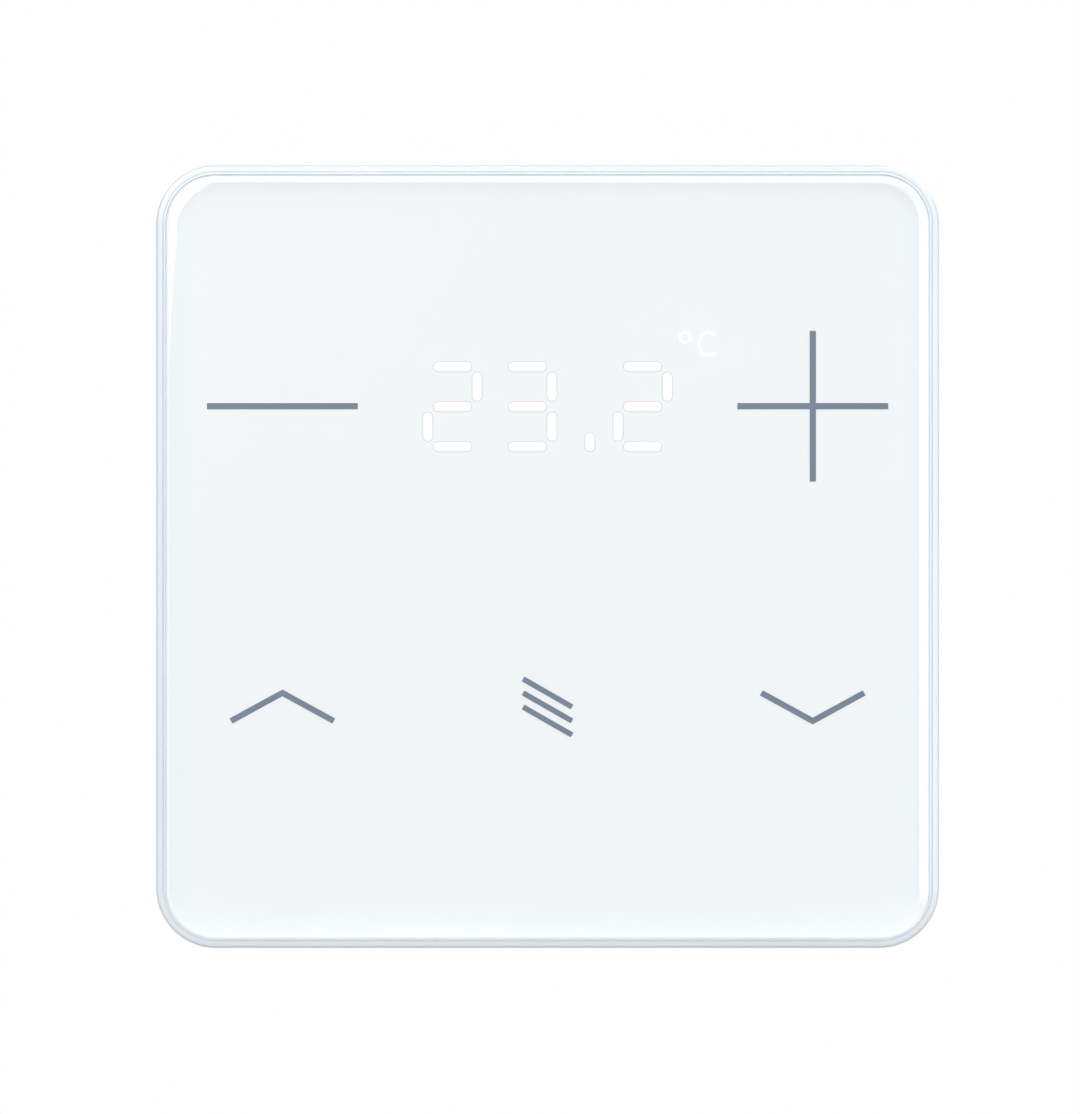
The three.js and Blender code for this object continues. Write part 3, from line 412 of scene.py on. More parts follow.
def smoothByAngle(mesh, degrees=32):
    made = bmesh.new()
    made.from_mesh(mesh)
    bmesh.ops.recalc_face_normals(made, faces=made.faces)
    limit = math.radians(degrees)
    for face in made.faces:
        face.smooth = True
    for edge in made.edges:
        edge.smooth = edge.calc_face_angle(math.pi) < limit
    made.to_mesh(mesh)
    made.free()
    return mesh


def meshFrom(name, points, faces, degrees=32):
    mesh = bpy.data.meshes.new(name)
    mesh.from_pydata([tuple(p) for p in points], [], faces)
    mesh.validate()
    return smoothByAngle(mesh, degrees)


def evaluated(mesh, addModifiers):
    # The mesh with modifiers taken in, as plain data
    holder = placed("holder", mesh)
    addModifiers(holder)
    depsgraph = bpy.context.evaluated_depsgraph_get()
    made = bpy.data.meshes.new_from_object(holder.evaluated_get(depsgraph), depsgraph=depsgraph)
    bpy.data.objects.remove(holder)
    return made


def cut(mesh, cutters):
    tools = []

    def addModifiers(holder):
        for i, cutter in enumerate(cutters):
            tools.append(placed("cutter", cutter))
            step = holder.modifiers.new(f"cut{i}", "BOOLEAN")
            step.operation = "DIFFERENCE"
            step.solver = "EXACT"
            step.object = tools[-1]

    made = evaluated(mesh, addModifiers)
    for tool in tools:
        bpy.data.objects.remove(tool)
    return made


def bevelled(mesh, width, segments=2, degrees=35):
    def addModifiers(holder):
        step = holder.modifiers.new("edges", "BEVEL")
        step.width = width
        step.segments = segments
        step.limit_method = "ANGLE"
        step.angle_limit = math.radians(degrees)
        step.use_clamp_overlap = True
        step.miter_outer = "MITER_ARC"

    return evaluated(mesh, addModifiers)


def evenShading(mesh):
    # Large faces keep their flat shading where they meet a narrow rounded edge
    def addModifiers(holder):
        step = holder.modifiers.new("normals", "WEIGHTED_NORMAL")
        step.keep_sharp = True
        step.weight = 80

    return evaluated(mesh, addModifiers)


def copyOfNode(node, edge):
    # A CAD node's own shape, merged into whole faces, with its edges broken
    made = bmesh.new()
    made.from_mesh(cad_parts[node].data)
    bmesh.ops.remove_doubles(made, verts=made.verts, dist=0.002 * mm)
    limit = math.radians(0.5)
    bmesh.ops.dissolve_limit(made, angle_limit=limit, verts=made.verts, edges=made.edges)
    mesh = bpy.data.meshes.new(node)
    made.to_mesh(mesh)
    made.free()
    return evenShading(smoothByAngle(bevelled(mesh, edge)))


def outline(width, height, radius, steps, centre=(0, 0)):
    # A rounded rectangle's points, anticlockwise as seen from the room
    points = []
    for quarter, (sx, sz) in enumerate([(1, 1), (-1, 1), (-1, -1), (1, -1)]):
        for i in range(steps + 1):
            angle = math.pi / 2 * (quarter + i / steps)
            x = centre[0] + sx * (width / 2 - radius) + radius * math.cos(angle)
            z = centre[1] + sz * (height / 2 - radius) + radius * math.sin(angle)
            points.append((x, z))
    return points


def loft(name, rings, degrees=32):
    # Rings of equal count, joined in order and closed at both ends
    count = len(rings[0])
    points = [p for ring in rings for p in ring]
    faces = []
    for r in range(len(rings) - 1):
        for i in range(count):
            j = (i + 1) % count
            faces.append((r * count + i, r * count + j, (r + 1) * count + j, (r + 1) * count + i))
    faces.append(tuple(range(count)))
    faces.append(tuple(reversed(range((len(rings) - 1) * count, len(rings) * count))))
    return meshFrom(name, points, faces, degrees)


def plateBetween(name, shape, frontY, backY):
    return loft(name, [[(x, y, z) for x, z in shape] for y in (frontY, backY)])


def joinMeshes(name, meshes):
    made = bmesh.new()
    for mesh in meshes:
        made.from_mesh(mesh)
    mesh = bpy.data.meshes.new(name)
    made.to_mesh(mesh)
    made.free()
    return mesh


# Geometry Nodes

def geometryTree(name, sockets, build):
    tree = bpy.data.node_groups.new(name, "GeometryNodeTree")
    for label, (kind, value) in sockets.items():
        socket = tree.interface.new_socket(label, in_out="INPUT",
                                           socket_type="NodeSocket" + kind)
        if value is not None:
            socket.default_value = value
    tree.interface.new_socket("Finish", in_out="INPUT", socket_type="NodeSocketMaterial")
    tree.interface.new_socket("Geometry", in_out="OUTPUT", socket_type="NodeSocketGeometry")
    graph = Graph(tree)
    given = graph.add("NodeGroupInput")
    whole = graph.add("GeometryNodeRealizeInstances", {}, {"Geometry": build(graph, given)})
    inputs = {"Geometry": whole, "Material": given["Finish"]}
    painted = graph.add("GeometryNodeSetMaterial", {}, inputs)
    graph.add("NodeGroupOutput", {}, {"Geometry": painted})
    return tree


def grow(tree, values, finish):
    identifiers = {item.name: item.identifier for item in tree.interface.items_tree
                   if item.in_out == "INPUT"}

    def addModifiers(holder):
        step = holder.modifiers.new("grow", "NODES")
        step.node_group = tree
        for label, value in {**values, "Finish": finishes[finish]}.items():
            step[identifiers[label]] = value

    return evaluated(bpy.data.meshes.new("seed"), addModifiers)


def ringSweep(graph, given):
    # A closed profile carried round a rectangle with rounded corners
    sizes = {"Width": given["Width"], "Height": given["Height"]}
    path = graph.add("GeometryNodeCurvePrimitiveQuadrilateral", {}, sizes)
    inputs = {"Curve": path, "Count": given["Corner steps"], "Radius": given["Corner radius"]}
    path = graph.add("GeometryNodeFilletCurve", {"mode": "POLY"}, inputs)
    profile = graph.add("GeometryNodeObjectInfo", {}, {"Object": given["Profile"]})["Geometry"]
    swept = graph.add("GeometryNodeCurveToMesh", {}, {"Curve": path, "Profile Curve": profile})
    turn = {"Geometry": swept, "Rotation": (math.pi / 2, 0, 0)}
    return graph.add("GeometryNodeTransform", {}, turn)


def gridOfCopies(graph, given):
    # One piece repeated in columns and rows
    def line(count, step):
        half = graph.add("ShaderNodeVectorMath", {"operation": "SCALE"},
                         {"Vector": given[step], "Scale": (given[count] - 1) * -0.5})
        inputs = {"Count": given[count], "Start Location": half, "Offset": given[step]}
        return graph.add("GeometryNodeMeshLine", {}, inputs)

    inputs = {"Points": line("Columns", "Column step"), "Instance": line("Rows", "Row step")}
    spots = graph.add("GeometryNodeInstanceOnPoints", {}, inputs)
    spots = graph.add("GeometryNodeRealizeInstances", {}, {"Geometry": spots})
    master = graph.add("GeometryNodeObjectInfo", {}, {"Object": given["Piece"]})["Geometry"]
    copies = graph.add("GeometryNodeInstanceOnPoints", {}, {"Points": spots, "Instance": master})
    moved = {"Geometry": copies, "Translation": given["Centre"]}
    return graph.add("GeometryNodeTransform", {}, moved)


def arcOfCopies(graph, given):
    # One piece repeated in equal turns about the Y axis
    points = graph.add("GeometryNodeMeshLine", {}, {"Count": given["Count"], "Offset": (0, 0, 0)})
    angle = graph.add("GeometryNodeInputIndex") * given["Step"] + given["Start"]
    turn = graph.add("ShaderNodeCombineXYZ", {}, {"Y": angle})
    master = graph.add("GeometryNodeObjectInfo", {}, {"Object": given["Piece"]})["Geometry"]
    inputs = {"Points": points, "Instance": master, "Rotation": turn}
    return graph.add("GeometryNodeInstanceOnPoints", {}, inputs)


ringTree = geometryTree("ringSweep", {
    "Width": ("Float", 0.08), "Height": ("Float", 0.08), "Corner radius": ("Float", 0.006),
    "Corner steps": ("Int", 16), "Profile": ("Object", None),
}, ringSweep)
copiesTree = geometryTree("gridOfCopies", {
    "Piece": ("Object", None), "Columns": ("Int", 2), "Rows": ("Int", 2),
    "Column step": ("Vector", (0.01, 0, 0)), "Row step": ("Vector", (0, 0, 0.01)),
    "Centre": ("Vector", (0, 0, 0)),
}, gridOfCopies)
arcTree = geometryTree("arcOfCopies", {
    "Piece": ("Object", None), "Count": ("Int", 9), "Start": ("Float", 0),
    "Step": ("Float", 0.2),
}, arcOfCopies)


def repeated(tree, mesh, finish, values):
    master = placed("master", mesh)
    made = grow(tree, {"Piece": master, **values}, finish)
    bpy.data.objects.remove(master)
    return made


def copies(mesh, finish, columns, rows, columnStep, rowStep, centre):
    return repeated(copiesTree, mesh, finish, {
        "Columns": columns, "Rows": rows, "Column step": columnStep, "Row step": rowStep,
        "Centre": centre})


# Frame round the glass

frameLow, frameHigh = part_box("bezel_frame")
faceWidth = frameHigh.x - frameLow.x
faceHeight = frameHigh.z - frameLow.z
frameLook = {
    "cornerRadius": 6.2 * mm, "cornerSteps": 20, "wall": 1.6 * mm, "pocketInset": 1.05 * mm,
    "edgeWidth": 0.36 * mm, "edgeDepth": 1.0 * mm, "edgeSteps": 6, "faceDrop": 0.2 * mm,
    "faceChamfer": 0.04 * mm, "grooveInset": 0.78 * mm, "grooveWidth": 0.09 * mm,
    "grooveDepth": 0.12 * mm, "shelfWidth": 2.7 * mm, "shelfFront": -6.45 * mm,
    "shelfBack": -5.25 * mm, "pillarRadius": 2.4 * mm, "pillarSink": 0.3 * mm,
    "pillarPast": 1.2 * mm, "slotLength": 3.4 * mm, "slotWidth": 1.0 * mm, "slotEnd": 0.49,
    "slotPitch": 4.8 * mm, "slotY": -3.55 * mm, "lowerSlots": 5, "lowerSlotsX": -14 * mm,
    "upperSlots": 9, "holeGap": 0.1 * mm, "cutReach": 3 * mm, "cutEdge": 0.06 * mm,
    "holes": {"programming_button": 1.0 * mm, "programming_led": 0.9 * mm},
}


def frameProfile(look):
    # Points as (distance in from the outline, depth)
    front, back = frameLow.y, frameHigh.y
    inner = look["pocketInset"]
    groove, half = look["grooveInset"], look["grooveWidth"] / 2

    def onFace(inset):
        # Both steps fall away towards the outside
        return front + look["faceDrop"] * (inner - inset) / (inner - look["edgeWidth"])

    crown = onFace(look["edgeWidth"])
    rounding = []
    for i in range(look["edgeSteps"] + 1):
        angle = math.pi / 2 * i / look["edgeSteps"]
        rounding.append((look["edgeWidth"] * (1 - math.cos(angle)),
                         crown + (front + look["edgeDepth"] - crown) * (1 - math.sin(angle))))
    shelf = look["wall"] + look["shelfWidth"]
    chamfer = look["faceChamfer"]
    return [
        (0, back), *rounding,
        (groove - half, onFace(groove - half)), (groove, onFace(groove) + look["grooveDepth"]),
        (groove + half, onFace(groove + half)),
        (inner - chamfer, front), (inner, front + chamfer), (inner, look["shelfFront"]),
        (shelf, look["shelfFront"]), (shelf, look["shelfBack"]),
        (look["wall"], look["shelfBack"]), (look["wall"], back),
    ]


def profileObject(points):
    curve = bpy.data.curves.new("profile", "CURVE")
    curve.dimensions = "3D"
    spline = curve.splines.new("POLY")
    spline.points.add(len(points) - 1)
    for point, (inset, depth) in zip(spline.points, points):
        point.co = (-inset, depth, 0, 1)
    spline.use_cyclic_u = True
    return placed("profile", curve)


def rod(radius, start, end, sides=32):
    # A cylinder between two points
    axis = (end - start).normalized()
    across = axis.orthogonal().normalized()
    up = axis.cross(across)
    rings = []
    for centre in (start, end):
        ring = []
        for i in range(sides):
            angle = 2 * math.pi * i / sides
            ring.append(centre + radius * (math.cos(angle) * across + math.sin(angle) * up))
        rings.append(ring)
    return loft("rod", rings)


def makeFrame(look):
    profile = profileObject(frameProfile(look))
    values = {"Width": faceWidth, "Height": faceHeight, "Corner radius": look["cornerRadius"],
              "Corner steps": look["cornerSteps"], "Profile": profile}
    ring = grow(ringTree, values, "rimPlastic")
    bpy.data.objects.remove(profile)
    smoothByAngle(ring)
    reach = look["cutReach"]
    shape = outline(look["slotLength"], look["slotWidth"], look["slotWidth"] * look["slotEnd"], 6)
    slot = plateBetween("slot", shape, -reach, reach)
    slot.transform(Matrix.Rotation(math.pi / 2, 4, "X"))
    wallZ = (faceHeight - look["wall"]) / 2
    step = (look["slotPitch"], 0, 0)
    cutters = [
        copies(slot, "rimPlastic", look["lowerSlots"], 1, step, (0, 0, 0),
               (look["lowerSlotsX"], look["slotY"], -wallZ)),
        copies(slot, "rimPlastic", look["upperSlots"], 1, step, (0, 0, 0),
               (0, look["slotY"], wallZ)),
    ]
    for node, radius in look["holes"].items():
        low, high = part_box(node)
        centre = (low + high) / 2
        ends = [Vector((centre.x, centre.y, z)) for z in (-wallZ - reach, -wallZ + reach)]
        cutters.append(rod(radius + look["holeGap"], *ends))
    ring = bevelled(cut(ring, cutters), look["cutEdge"], degrees=40)
    ends = (look["shelfBack"] - look["pillarSink"],
            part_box("touch_board")[1].y + look["pillarPast"])
    pillars = rod(look["pillarRadius"], *(Vector((0, y, 0)) for y in ends))
    low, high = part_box("cover_screw_1")
    spot = (low + high) / 2
    pillars = copies(pillars, "rimPlastic", 2, 2, (2 * abs(spot.x), 0, 0),
                     (0, 0, 2 * abs(spot.z)), (0, 0, 0))
    whole = evenShading(smoothByAngle(joinMeshes("bezelFrame", [ring, pillars])))
    settle("bezelFrame", whole, "rimPlastic", "device", ["bezel_frame"])


makeFrame(frameLook)
print("frame made")


# Glass and what is printed and lit behind it

glassLook = {
    "cornerRadius": 5.05 * mm, "cornerSteps": 20, "edgeWidth": 1.5 * mm,
    "edgeDepth": 0.8 * mm, "edgeSteps": 10, "backChamfer": 0.12 * mm,
}


def makeGlass(look):
    width, height = glassHigh.x - glassLow.x, glassHigh.z - glassLow.z
    front, back = glassLow.y, glassHigh.y
    stations = []
    for i in range(look["edgeSteps"] + 1):
        angle = math.pi / 2 * (1 - i / look["edgeSteps"])
        stations.append((look["edgeWidth"] * (1 - math.cos(angle)),
                         front + look["edgeDepth"] * (1 - math.sin(angle))))
    chamfer = look["backChamfer"]
    stations += [(0, back - chamfer), (chamfer, back)]
    rings = []
    for inset, y in stations:
        shape = outline(width - 2 * inset, height - 2 * inset, look["cornerRadius"] - inset,
                        look["cornerSteps"])
        rings.append([(x, y, z) for x, z in shape])
    settle("frontGlass", loft("frontGlass", rings), "clearGlass", "device",
           ["front_glass"])


# The print is baked into the glass: no air between them, so the polished edges stay bright
printFront = glassHigh.y - printLook["bond"]
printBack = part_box("print_layer")[1].y
# Printed and lit shapes lie on the sheet's front side
inkFront, inkBack = printFront - printLook["inkRise"], printFront - printLook["inkGap"]


def makePrintSheet():
    shape = outline(printWidth, printHeight, printLook["corner"], glassLook["cornerSteps"])
    mesh = plateBetween("printSheet", shape, printFront, printBack)
    settle("printSheet", mesh, "backPrint", "device", ["print_layer"])


iconLook = {
    "spreadX": 27.6 * mm, "spreadZ": 15.65 * mm, "barLength": 15.7 * mm, "barWidth": 0.65 * mm,
    "arrowWidth": 10.7 * mm, "arrowRise": 2.93 * mm, "strokeWidth": 0.62 * mm,
    "slatWidth": 5.1 * mm, "slatDrop": 2.92 * mm, "slatPitch": 1.46 * mm,
    "slatStroke": 0.57 * mm,
}


def stroke(points, width):
    # The outline of a line of even width with mitred bends and square ends
    sides = ([], [])
    for i, point in enumerate(points):
        before = (point - points[i - 1]).normalized() if i else None
        after = (points[i + 1] - point).normalized() if i < len(points) - 1 else None
        a, b = before or after, after or before
        normal = Vector((-a.y - b.y, a.x + b.x)).normalized()
        reach = width / 2 / normal.dot(Vector((-a.y, a.x)))
        sides[0].append(point + normal * reach)
        sides[1].append(point - normal * reach)
    return [tuple(p) for p in sides[0] + sides[1][::-1]]


def strokePlate(name, points, width, frontY=inkFront, backY=inkBack):
    shape = stroke([Vector(p) for p in points], width)
    count = len(points)
    verts = [(x, y, z) for y in (frontY, backY) for x, z in shape]
    total = 2 * count
    faces = []
    for i in range(count - 1):
        quad = (i, i + 1, total - 2 - i, total - 1 - i)
        faces += [quad, tuple(v + total for v in reversed(quad))]
    for i in range(total):
        j = (i + 1) % total
        faces.append((i, i + total, j + total, j))
    return meshFrom(name, verts, faces)


def makeIcons(look):
    right, up = look["spreadX"], look["spreadZ"]
    half = look["barLength"] / 2
    width = look["barWidth"]
    minus = strokePlate("minus", [(-right - half, up), (-right + half, up)], width)
    level = strokePlate("level", [(right - half, up), (right + half, up)], width)
    upper = strokePlate("upper", [(right, up + width / 2), (right, up + half)], width)
    lower = strokePlate("lower", [(right, up - half), (right, up - width / 2)], width)
    arm, rise = look["arrowWidth"] / 2, look["arrowRise"] / 2
    arrows = {}
    for name, x, sign in (("iconUp", -right, 1), ("iconDown", right, -1)):
        points = [(x - arm, -up - sign * rise), (x, -up + sign * rise),
                  (x + arm, -up - sign * rise)]
        arrows[name] = strokePlate(name, points, look["strokeWidth"])
    slope, drop = look["slatWidth"] / 2, look["slatDrop"] / 2
    slats = [strokePlate("slat", [(-slope, z + drop), (slope, z - drop)], look["slatStroke"])
             for z in (-up + row * look["slatPitch"] for row in (-1, 0, 1))]
    shapes = {"iconMinus": minus, "iconPlus": joinMeshes("iconPlus", [level, upper, lower]),
              "iconSlats": joinMeshes("iconSlats", slats), **arrows}
    for name, mesh in shapes.items():
        settle(name, mesh, "iconInk", "device")


readingLook = {
    "digits": {"left": -9.9 * mm, "middle": -2.1 * mm, "right": 9.9 * mm},
    "reading": {"left": "abged", "middle": "abgcd", "right": "abged"},
    "centreZ": 15.6 * mm, "width": 6.0 * mm, "height": 9.2 * mm, "segment": 0.88 * mm,
    "gap": 0.2 * mm, "corner": 0.42 * mm, "pointX": 4.4 * mm, "pointHeight": 1.8 * mm,
    "halo": 0.13 * mm, "haloRise": 0.008 * mm, "degreeX": 14.3 * mm, "degreeZ": 22.8 * mm,
    "degreeRadius": 0.52 * mm, "unitX": 16.75 * mm, "unitZ": 22.1 * mm, "unitWidth": 2.0 * mm,
    "unitHeight": 2.4 * mm, "unitStroke": 0.19 * mm, "unitOpening": 48,
}


def segmentSpots(look, digit):
    across = look["width"] - 2 * look["segment"] - 2 * look["gap"]
    rise = (look["height"] - look["segment"]) / 2
    tall = rise - look["segment"] - 2 * look["gap"]
    side = (look["width"] - look["segment"]) / 2
    x, z = look["digits"][digit], look["centreZ"]
    level = {"a": 1, "g": 0, "d": -1}
    upright = {"b": (1, 1), "c": (1, -1), "e": (-1, -1), "f": (-1, 1)}
    spots = []
    for letter in look["reading"][digit]:
        if letter in level:
            spots.append((x, z + level[letter] * rise, across, look["segment"]))
        else:
            sx, sz = upright[letter]
            spots.append((x + sx * side, z + sz * rise / 2, look["segment"], tall))
    return spots


def arcPoints(centre, width, height, start, end, steps):
    points = []
    for i in range(steps + 1):
        angle = math.radians(start + (end - start) * i / steps)
        points.append((centre[0] + width / 2 * math.cos(angle),
                       centre[1] + height / 2 * math.sin(angle)))
    return points


def makeReading(look):
    spots = {name: segmentSpots(look, name) for name in look["digits"]}
    low = look["centreZ"] - (look["height"] - look["pointHeight"]) / 2
    spots["point"] = [(look["pointX"], low, look["segment"], look["pointHeight"])]
    haloFront = inkBack - look["haloRise"]
    for name, places in spots.items():
        for kind, grown, front, finish in (("lit", 0, inkFront, "litSegment"),
                                           ("halo", look["halo"], haloFront, "segmentHalo")):
            plates = [plateBetween("segment", outline(w + 2 * grown, h + 2 * grown,
                                                      look["corner"] + grown, 6, (x, z)),
                                   front, inkBack) for x, z, w, h in places]
            title = f"{kind}{name.capitalize()}"
            settle(title, joinMeshes(title, plates), finish, "device")
    opening = look["unitOpening"]
    letter = arcPoints((look["unitX"], look["unitZ"]), look["unitWidth"], look["unitHeight"],
                       opening, 360 - opening, 32)
    size = 2 * look["degreeRadius"]
    halves = [arcPoints((look["degreeX"], look["degreeZ"]), size, size, start, start + 180, 16)
              for start in (0, 180)]
    plates = [strokePlate("unit", line, look["unitStroke"]) for line in (letter, *halves)]
    settle("litUnit", joinMeshes("litUnit", plates), "litSegment", "device")


makeGlass(glassLook)
makePrintSheet()
makeIcons(iconLook)
makeReading(readingLook)
print("glass, icons and reading made")


# Screws

screwForm = {
    "sides": 32, "domeSteps": 7, "dome": (0.55, 0.45), "brim": 0.06 * mm, "seat": 0.97,
    "rowsPerTurn": 8, "tipTaper": 0.75, "recessArm": 0.62, "recessBlade": 0.13,
    "recessDepth": 0.75, "recessMouth": (-1.2, 1.15), "recessFoot": 0.55,
}


def screwMesh(look, form):
    # Seat at y = 0, head towards -y, thread towards +y
    sides = form["sides"]
    head, shank = look["headRadius"], look["radius"]
    rise, length, pitch = look["headHeight"], look["length"], look["pitch"]
    depth = look["threadDepth"]
    rim, crown = form["dome"]
    stations = []
    for i in range(form["domeSteps"] + 1):
        angle = math.pi / 2 * i / form["domeSteps"]
        stations.append((-rise * (rim + crown * math.cos(angle)), head * math.sin(angle) + 1e-6))
    stations += [(-form["brim"], head), (0, head * form["seat"]), (0, shank)]
    rows = int(length / pitch * form["rowsPerTurn"])
    taper = length - look["tip"]
    rings = [[(r * math.cos(a), y, r * math.sin(a)) for a in
              (2 * math.pi * i / sides for i in range(sides))] for y, r in stations]
    for row in range(1, rows + 1):
        y = length * row / rows
        ring = []
        for i in range(sides):
            angle = 2 * math.pi * i / sides
            turn = (y / pitch - i / sides) % 1
            ridge = max(0, 1 - abs(turn - 0.5) * 4) * depth
            core = shank - depth
            if y > taper:
                core *= 1 - form["tipTaper"] * (y - taper) / look["tip"]
                ridge *= 1 - (y - taper) / look["tip"]
            radius = core + ridge
            ring.append((radius * math.cos(angle), y, radius * math.sin(angle)))
        rings.append(ring)
    body = loft("screw", rings, 50)
    arm, blade = head * form["recessArm"], head * form["recessBlade"]
    deep = rise * form["recessDepth"]
    above, mouth = form["recessMouth"]
    cutters = []
    for across in (0, 1):
        rings = []
        for y, share in ((rise * above, mouth), (-rise + deep, form["recessFoot"])):
            w, t = arm * share, blade * (0.6 + 0.4 * share)
            corners = [(w, t), (-w, t), (-w, -t), (w, -t)]
            rings.append([(z, y, x) if across else (x, y, z) for x, z in corners])
        cutters.append(loft("recess", rings))
    return smoothByAngle(cut(body, cutters), 40)


def screwSet(name, look):
    mesh = screwMesh(look, screwForm)
    fromRear = look["head"] == "rear"
    if fromRear:
        mesh.transform(Matrix.Rotation(math.pi, 4, "X"))
    boxes = [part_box(node) for node in look["nodes"]]
    low = Vector(map(min, zip(*(b[0] for b in boxes))))
    high = Vector(map(max, zip(*(b[1] for b in boxes))))
    spreadX = high.x - low.x - 2 * look["headRadius"]
    spreadZ = high.z - low.z - 2 * look["headRadius"]
    seat = high.y - look["headHeight"] if fromRear else low.y + look["headHeight"]
    centre = ((low.x + high.x) / 2, seat, (low.z + high.z) / 2)
    rows = 2 if spreadZ > 1 * mm else 1
    made = copies(mesh, "zincScrew", 2, rows, (spreadX, 0, 0), (0, 0, spreadZ), centre)
    settle(name, made, "zincScrew", look["body"], look["nodes"])


screwLooks = {
    "boxScrews": {"nodes": ["box_screw_left", "box_screw_right"], "body": "carrier",
                  "head": "front", "radius": 1.6 * mm, "length": 20 * mm,
                  "headRadius": 2.9 * mm, "headHeight": 1.5 * mm, "pitch": 1.2 * mm,
                  "threadDepth": 0.35 * mm, "tip": 1.6 * mm},
    "coverScrews": {"nodes": [f"cover_screw_{i}" for i in (1, 2, 3, 4)], "body": "device",
                    "head": "rear", "radius": 1.1 * mm, "length": 3.5 * mm,
                    "headRadius": 2.0 * mm, "headHeight": 0.8 * mm, "pitch": 0.8 * mm,
                    "threadDepth": 0.22 * mm, "tip": 0.8 * mm},
    "boardScrews": {"nodes": ["board_screw_left", "board_screw_right"], "body": "device",
                    "head": "front", "radius": 0.95 * mm, "length": 5 * mm,
                    "headRadius": 1.9 * mm, "headHeight": 1.2 * mm, "pitch": 0.8 * mm,
                    "threadDepth": 0.2 * mm, "tip": 0.8 * mm},
}
for name, look in screwLooks.items():
    screwSet(name, look)
print("screws made")


# Wall side, rear cover, terminal and small parts, from the CAD shapes

copiedNodes = {
    "carrier_plate": ("carrier", "galvanised", "galvanised_steel", 0.12 * mm),
    "rear_cover": ("device", "rearPlastic", "rear_plastic", 0.15 * mm),
    "terminal_block_red": ("bus_terminal", "redPlastic", "red_plastic", 0.2 * mm),
    "terminal_block_grey": ("bus_terminal", "greyPlastic", "grey_plastic", 0.2 * mm),
    "programming_button": ("programming_button", "greyPlastic", "grey_plastic", 0.08 * mm),
    "top_spring_clip": ("device", "springSteel", "spring_steel", 0.04 * mm),
    "bottom_spring_clip": ("device", "springSteel", "spring_steel", 0.04 * mm),
}
for node, (body, finish, slot, edge) in copiedNodes.items():
    words = node.split("_")
    title = words[0] + "".join(word.capitalize() for word in words[1:])
    settle(title, copyOfNode(node, edge), finish, body, [node])

rearLook = {
    "insertRadius": 24.5 * mm, "insertBack": 13 * mm, "ribRadius": 0.5 * mm,
    "ribFront": 0.9 * mm, "ribBack": 12.2 * mm, "ribCount": 11, "ribStep": 10.5,
    "ribEdge": 0.15 * mm, "panelWidth": 22 * mm, "panelHeight": 6 * mm, "panelZ": 15 * mm,
    "panelCorner": 1 * mm, "panelLine": 0.5 * mm, "panelTaper": 0.7, "rise": 0.35 * mm,
    "sunk": 0.3 * mm, "markReach": 9.6 * mm, "markSize": 3.0 * mm, "markLine": 0.55 * mm,
    "pinRadius": 1.5 * mm, "pinRise": 0.1 * mm, "pinEdge": 0.05 * mm,
    "pinSpreadX": 33 * mm, "pinSpreadZ": 18 * mm,
}


def makeRearMoulding(look):
    # Crush ribs down both sides, a blank rating panel, polarity signs and ejector marks
    back = look["insertBack"]
    rib = rod(look["ribRadius"], Vector((look["insertRadius"], look["ribFront"], 0)),
              Vector((look["insertRadius"], look["ribBack"], 0)), 12)
    rib = bevelled(rib, look["ribEdge"])
    step = math.radians(look["ribStep"])
    reach = step * (look["ribCount"] - 1) / 2
    ribs = [repeated(arcTree, rib, "rearPlastic", {
        "Count": look["ribCount"], "Start": middle - reach, "Step": step})
        for middle in (0, math.pi)]
    line = look["panelLine"] / 2
    top, foot = back + look["rise"], back - look["sunk"]
    crest = line * look["panelTaper"]
    profile = profileObject([(-line, foot), (-crest, top), (crest, top), (line, foot)])
    border = grow(ringTree, {
        "Width": look["panelWidth"], "Height": look["panelHeight"],
        "Corner radius": look["panelCorner"], "Corner steps": 8, "Profile": profile},
        "rearPlastic")
    bpy.data.objects.remove(profile)
    border.transform(Matrix.Translation((0, 0, look["panelZ"])))
    low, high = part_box("terminal_block_red")
    side = math.copysign(look["markReach"], (low + high).x)
    z, half, clear = (low + high).z / 2, look["markSize"] / 2, look["markLine"] / 2
    signs = [strokePlate("sign", points, look["markLine"], foot, top) for points in (
        [(side - half, z), (side + half, z)], [(side, z + clear), (side, z + half)],
        [(side, z - half), (side, z - clear)], [(-side - half, z), (-side + half, z)])]
    pin = bevelled(rod(look["pinRadius"], Vector((0, foot, 0)),
                       Vector((0, back + look["pinRise"], 0)), 24), look["pinEdge"])
    pins = copies(pin, "rearPlastic", 2, 2, (look["pinSpreadX"], 0, 0),
                  (0, 0, look["pinSpreadZ"]), (0, 0, 0))
    whole = smoothByAngle(joinMeshes("rearMoulding", [*ribs, border, *signs, pins]))
    settle("rearMoulding", whole, "rearPlastic", "device")


makeRearMoulding(rearLook)
print("outer parts made")

keptNodes = {
    "foamTape": ["glass_tape"],
    "frostedSheet": ["segment_diffuser"],
    "maskPlastic": ["light_mask"],
    "conductiveFoam": [f"touch_pad_{icon}" for icon in ("minus", "plus", "up", "slats", "down")],
    "whiteMask": ["touch_board"],
    "greenMask": ["sensor_board", "main_board"],
    "redLens": ["programming_led"],
    "crystalCan": ["quartz_crystal"],
    "capacitorSleeve": ["storage_capacitor"],
    "tinnedBrass": ["bus_pin_positive", "bus_pin_negative", "contact_sleeve_red",
                    "contact_sleeve_grey"],
    "blackPlastic": ["touch_controller", "led_driver", "temperature_sensor",
                     "programming_switch", "board_socket", "board_header", "main_controller",
                     "bus_transceiver", "bus_choke", "pin_holder"],
}
for finish, nodes in keptNodes.items():
    for node in nodes:
        paint(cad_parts[node].data, finish)
print("inner parts painted")


# Studio

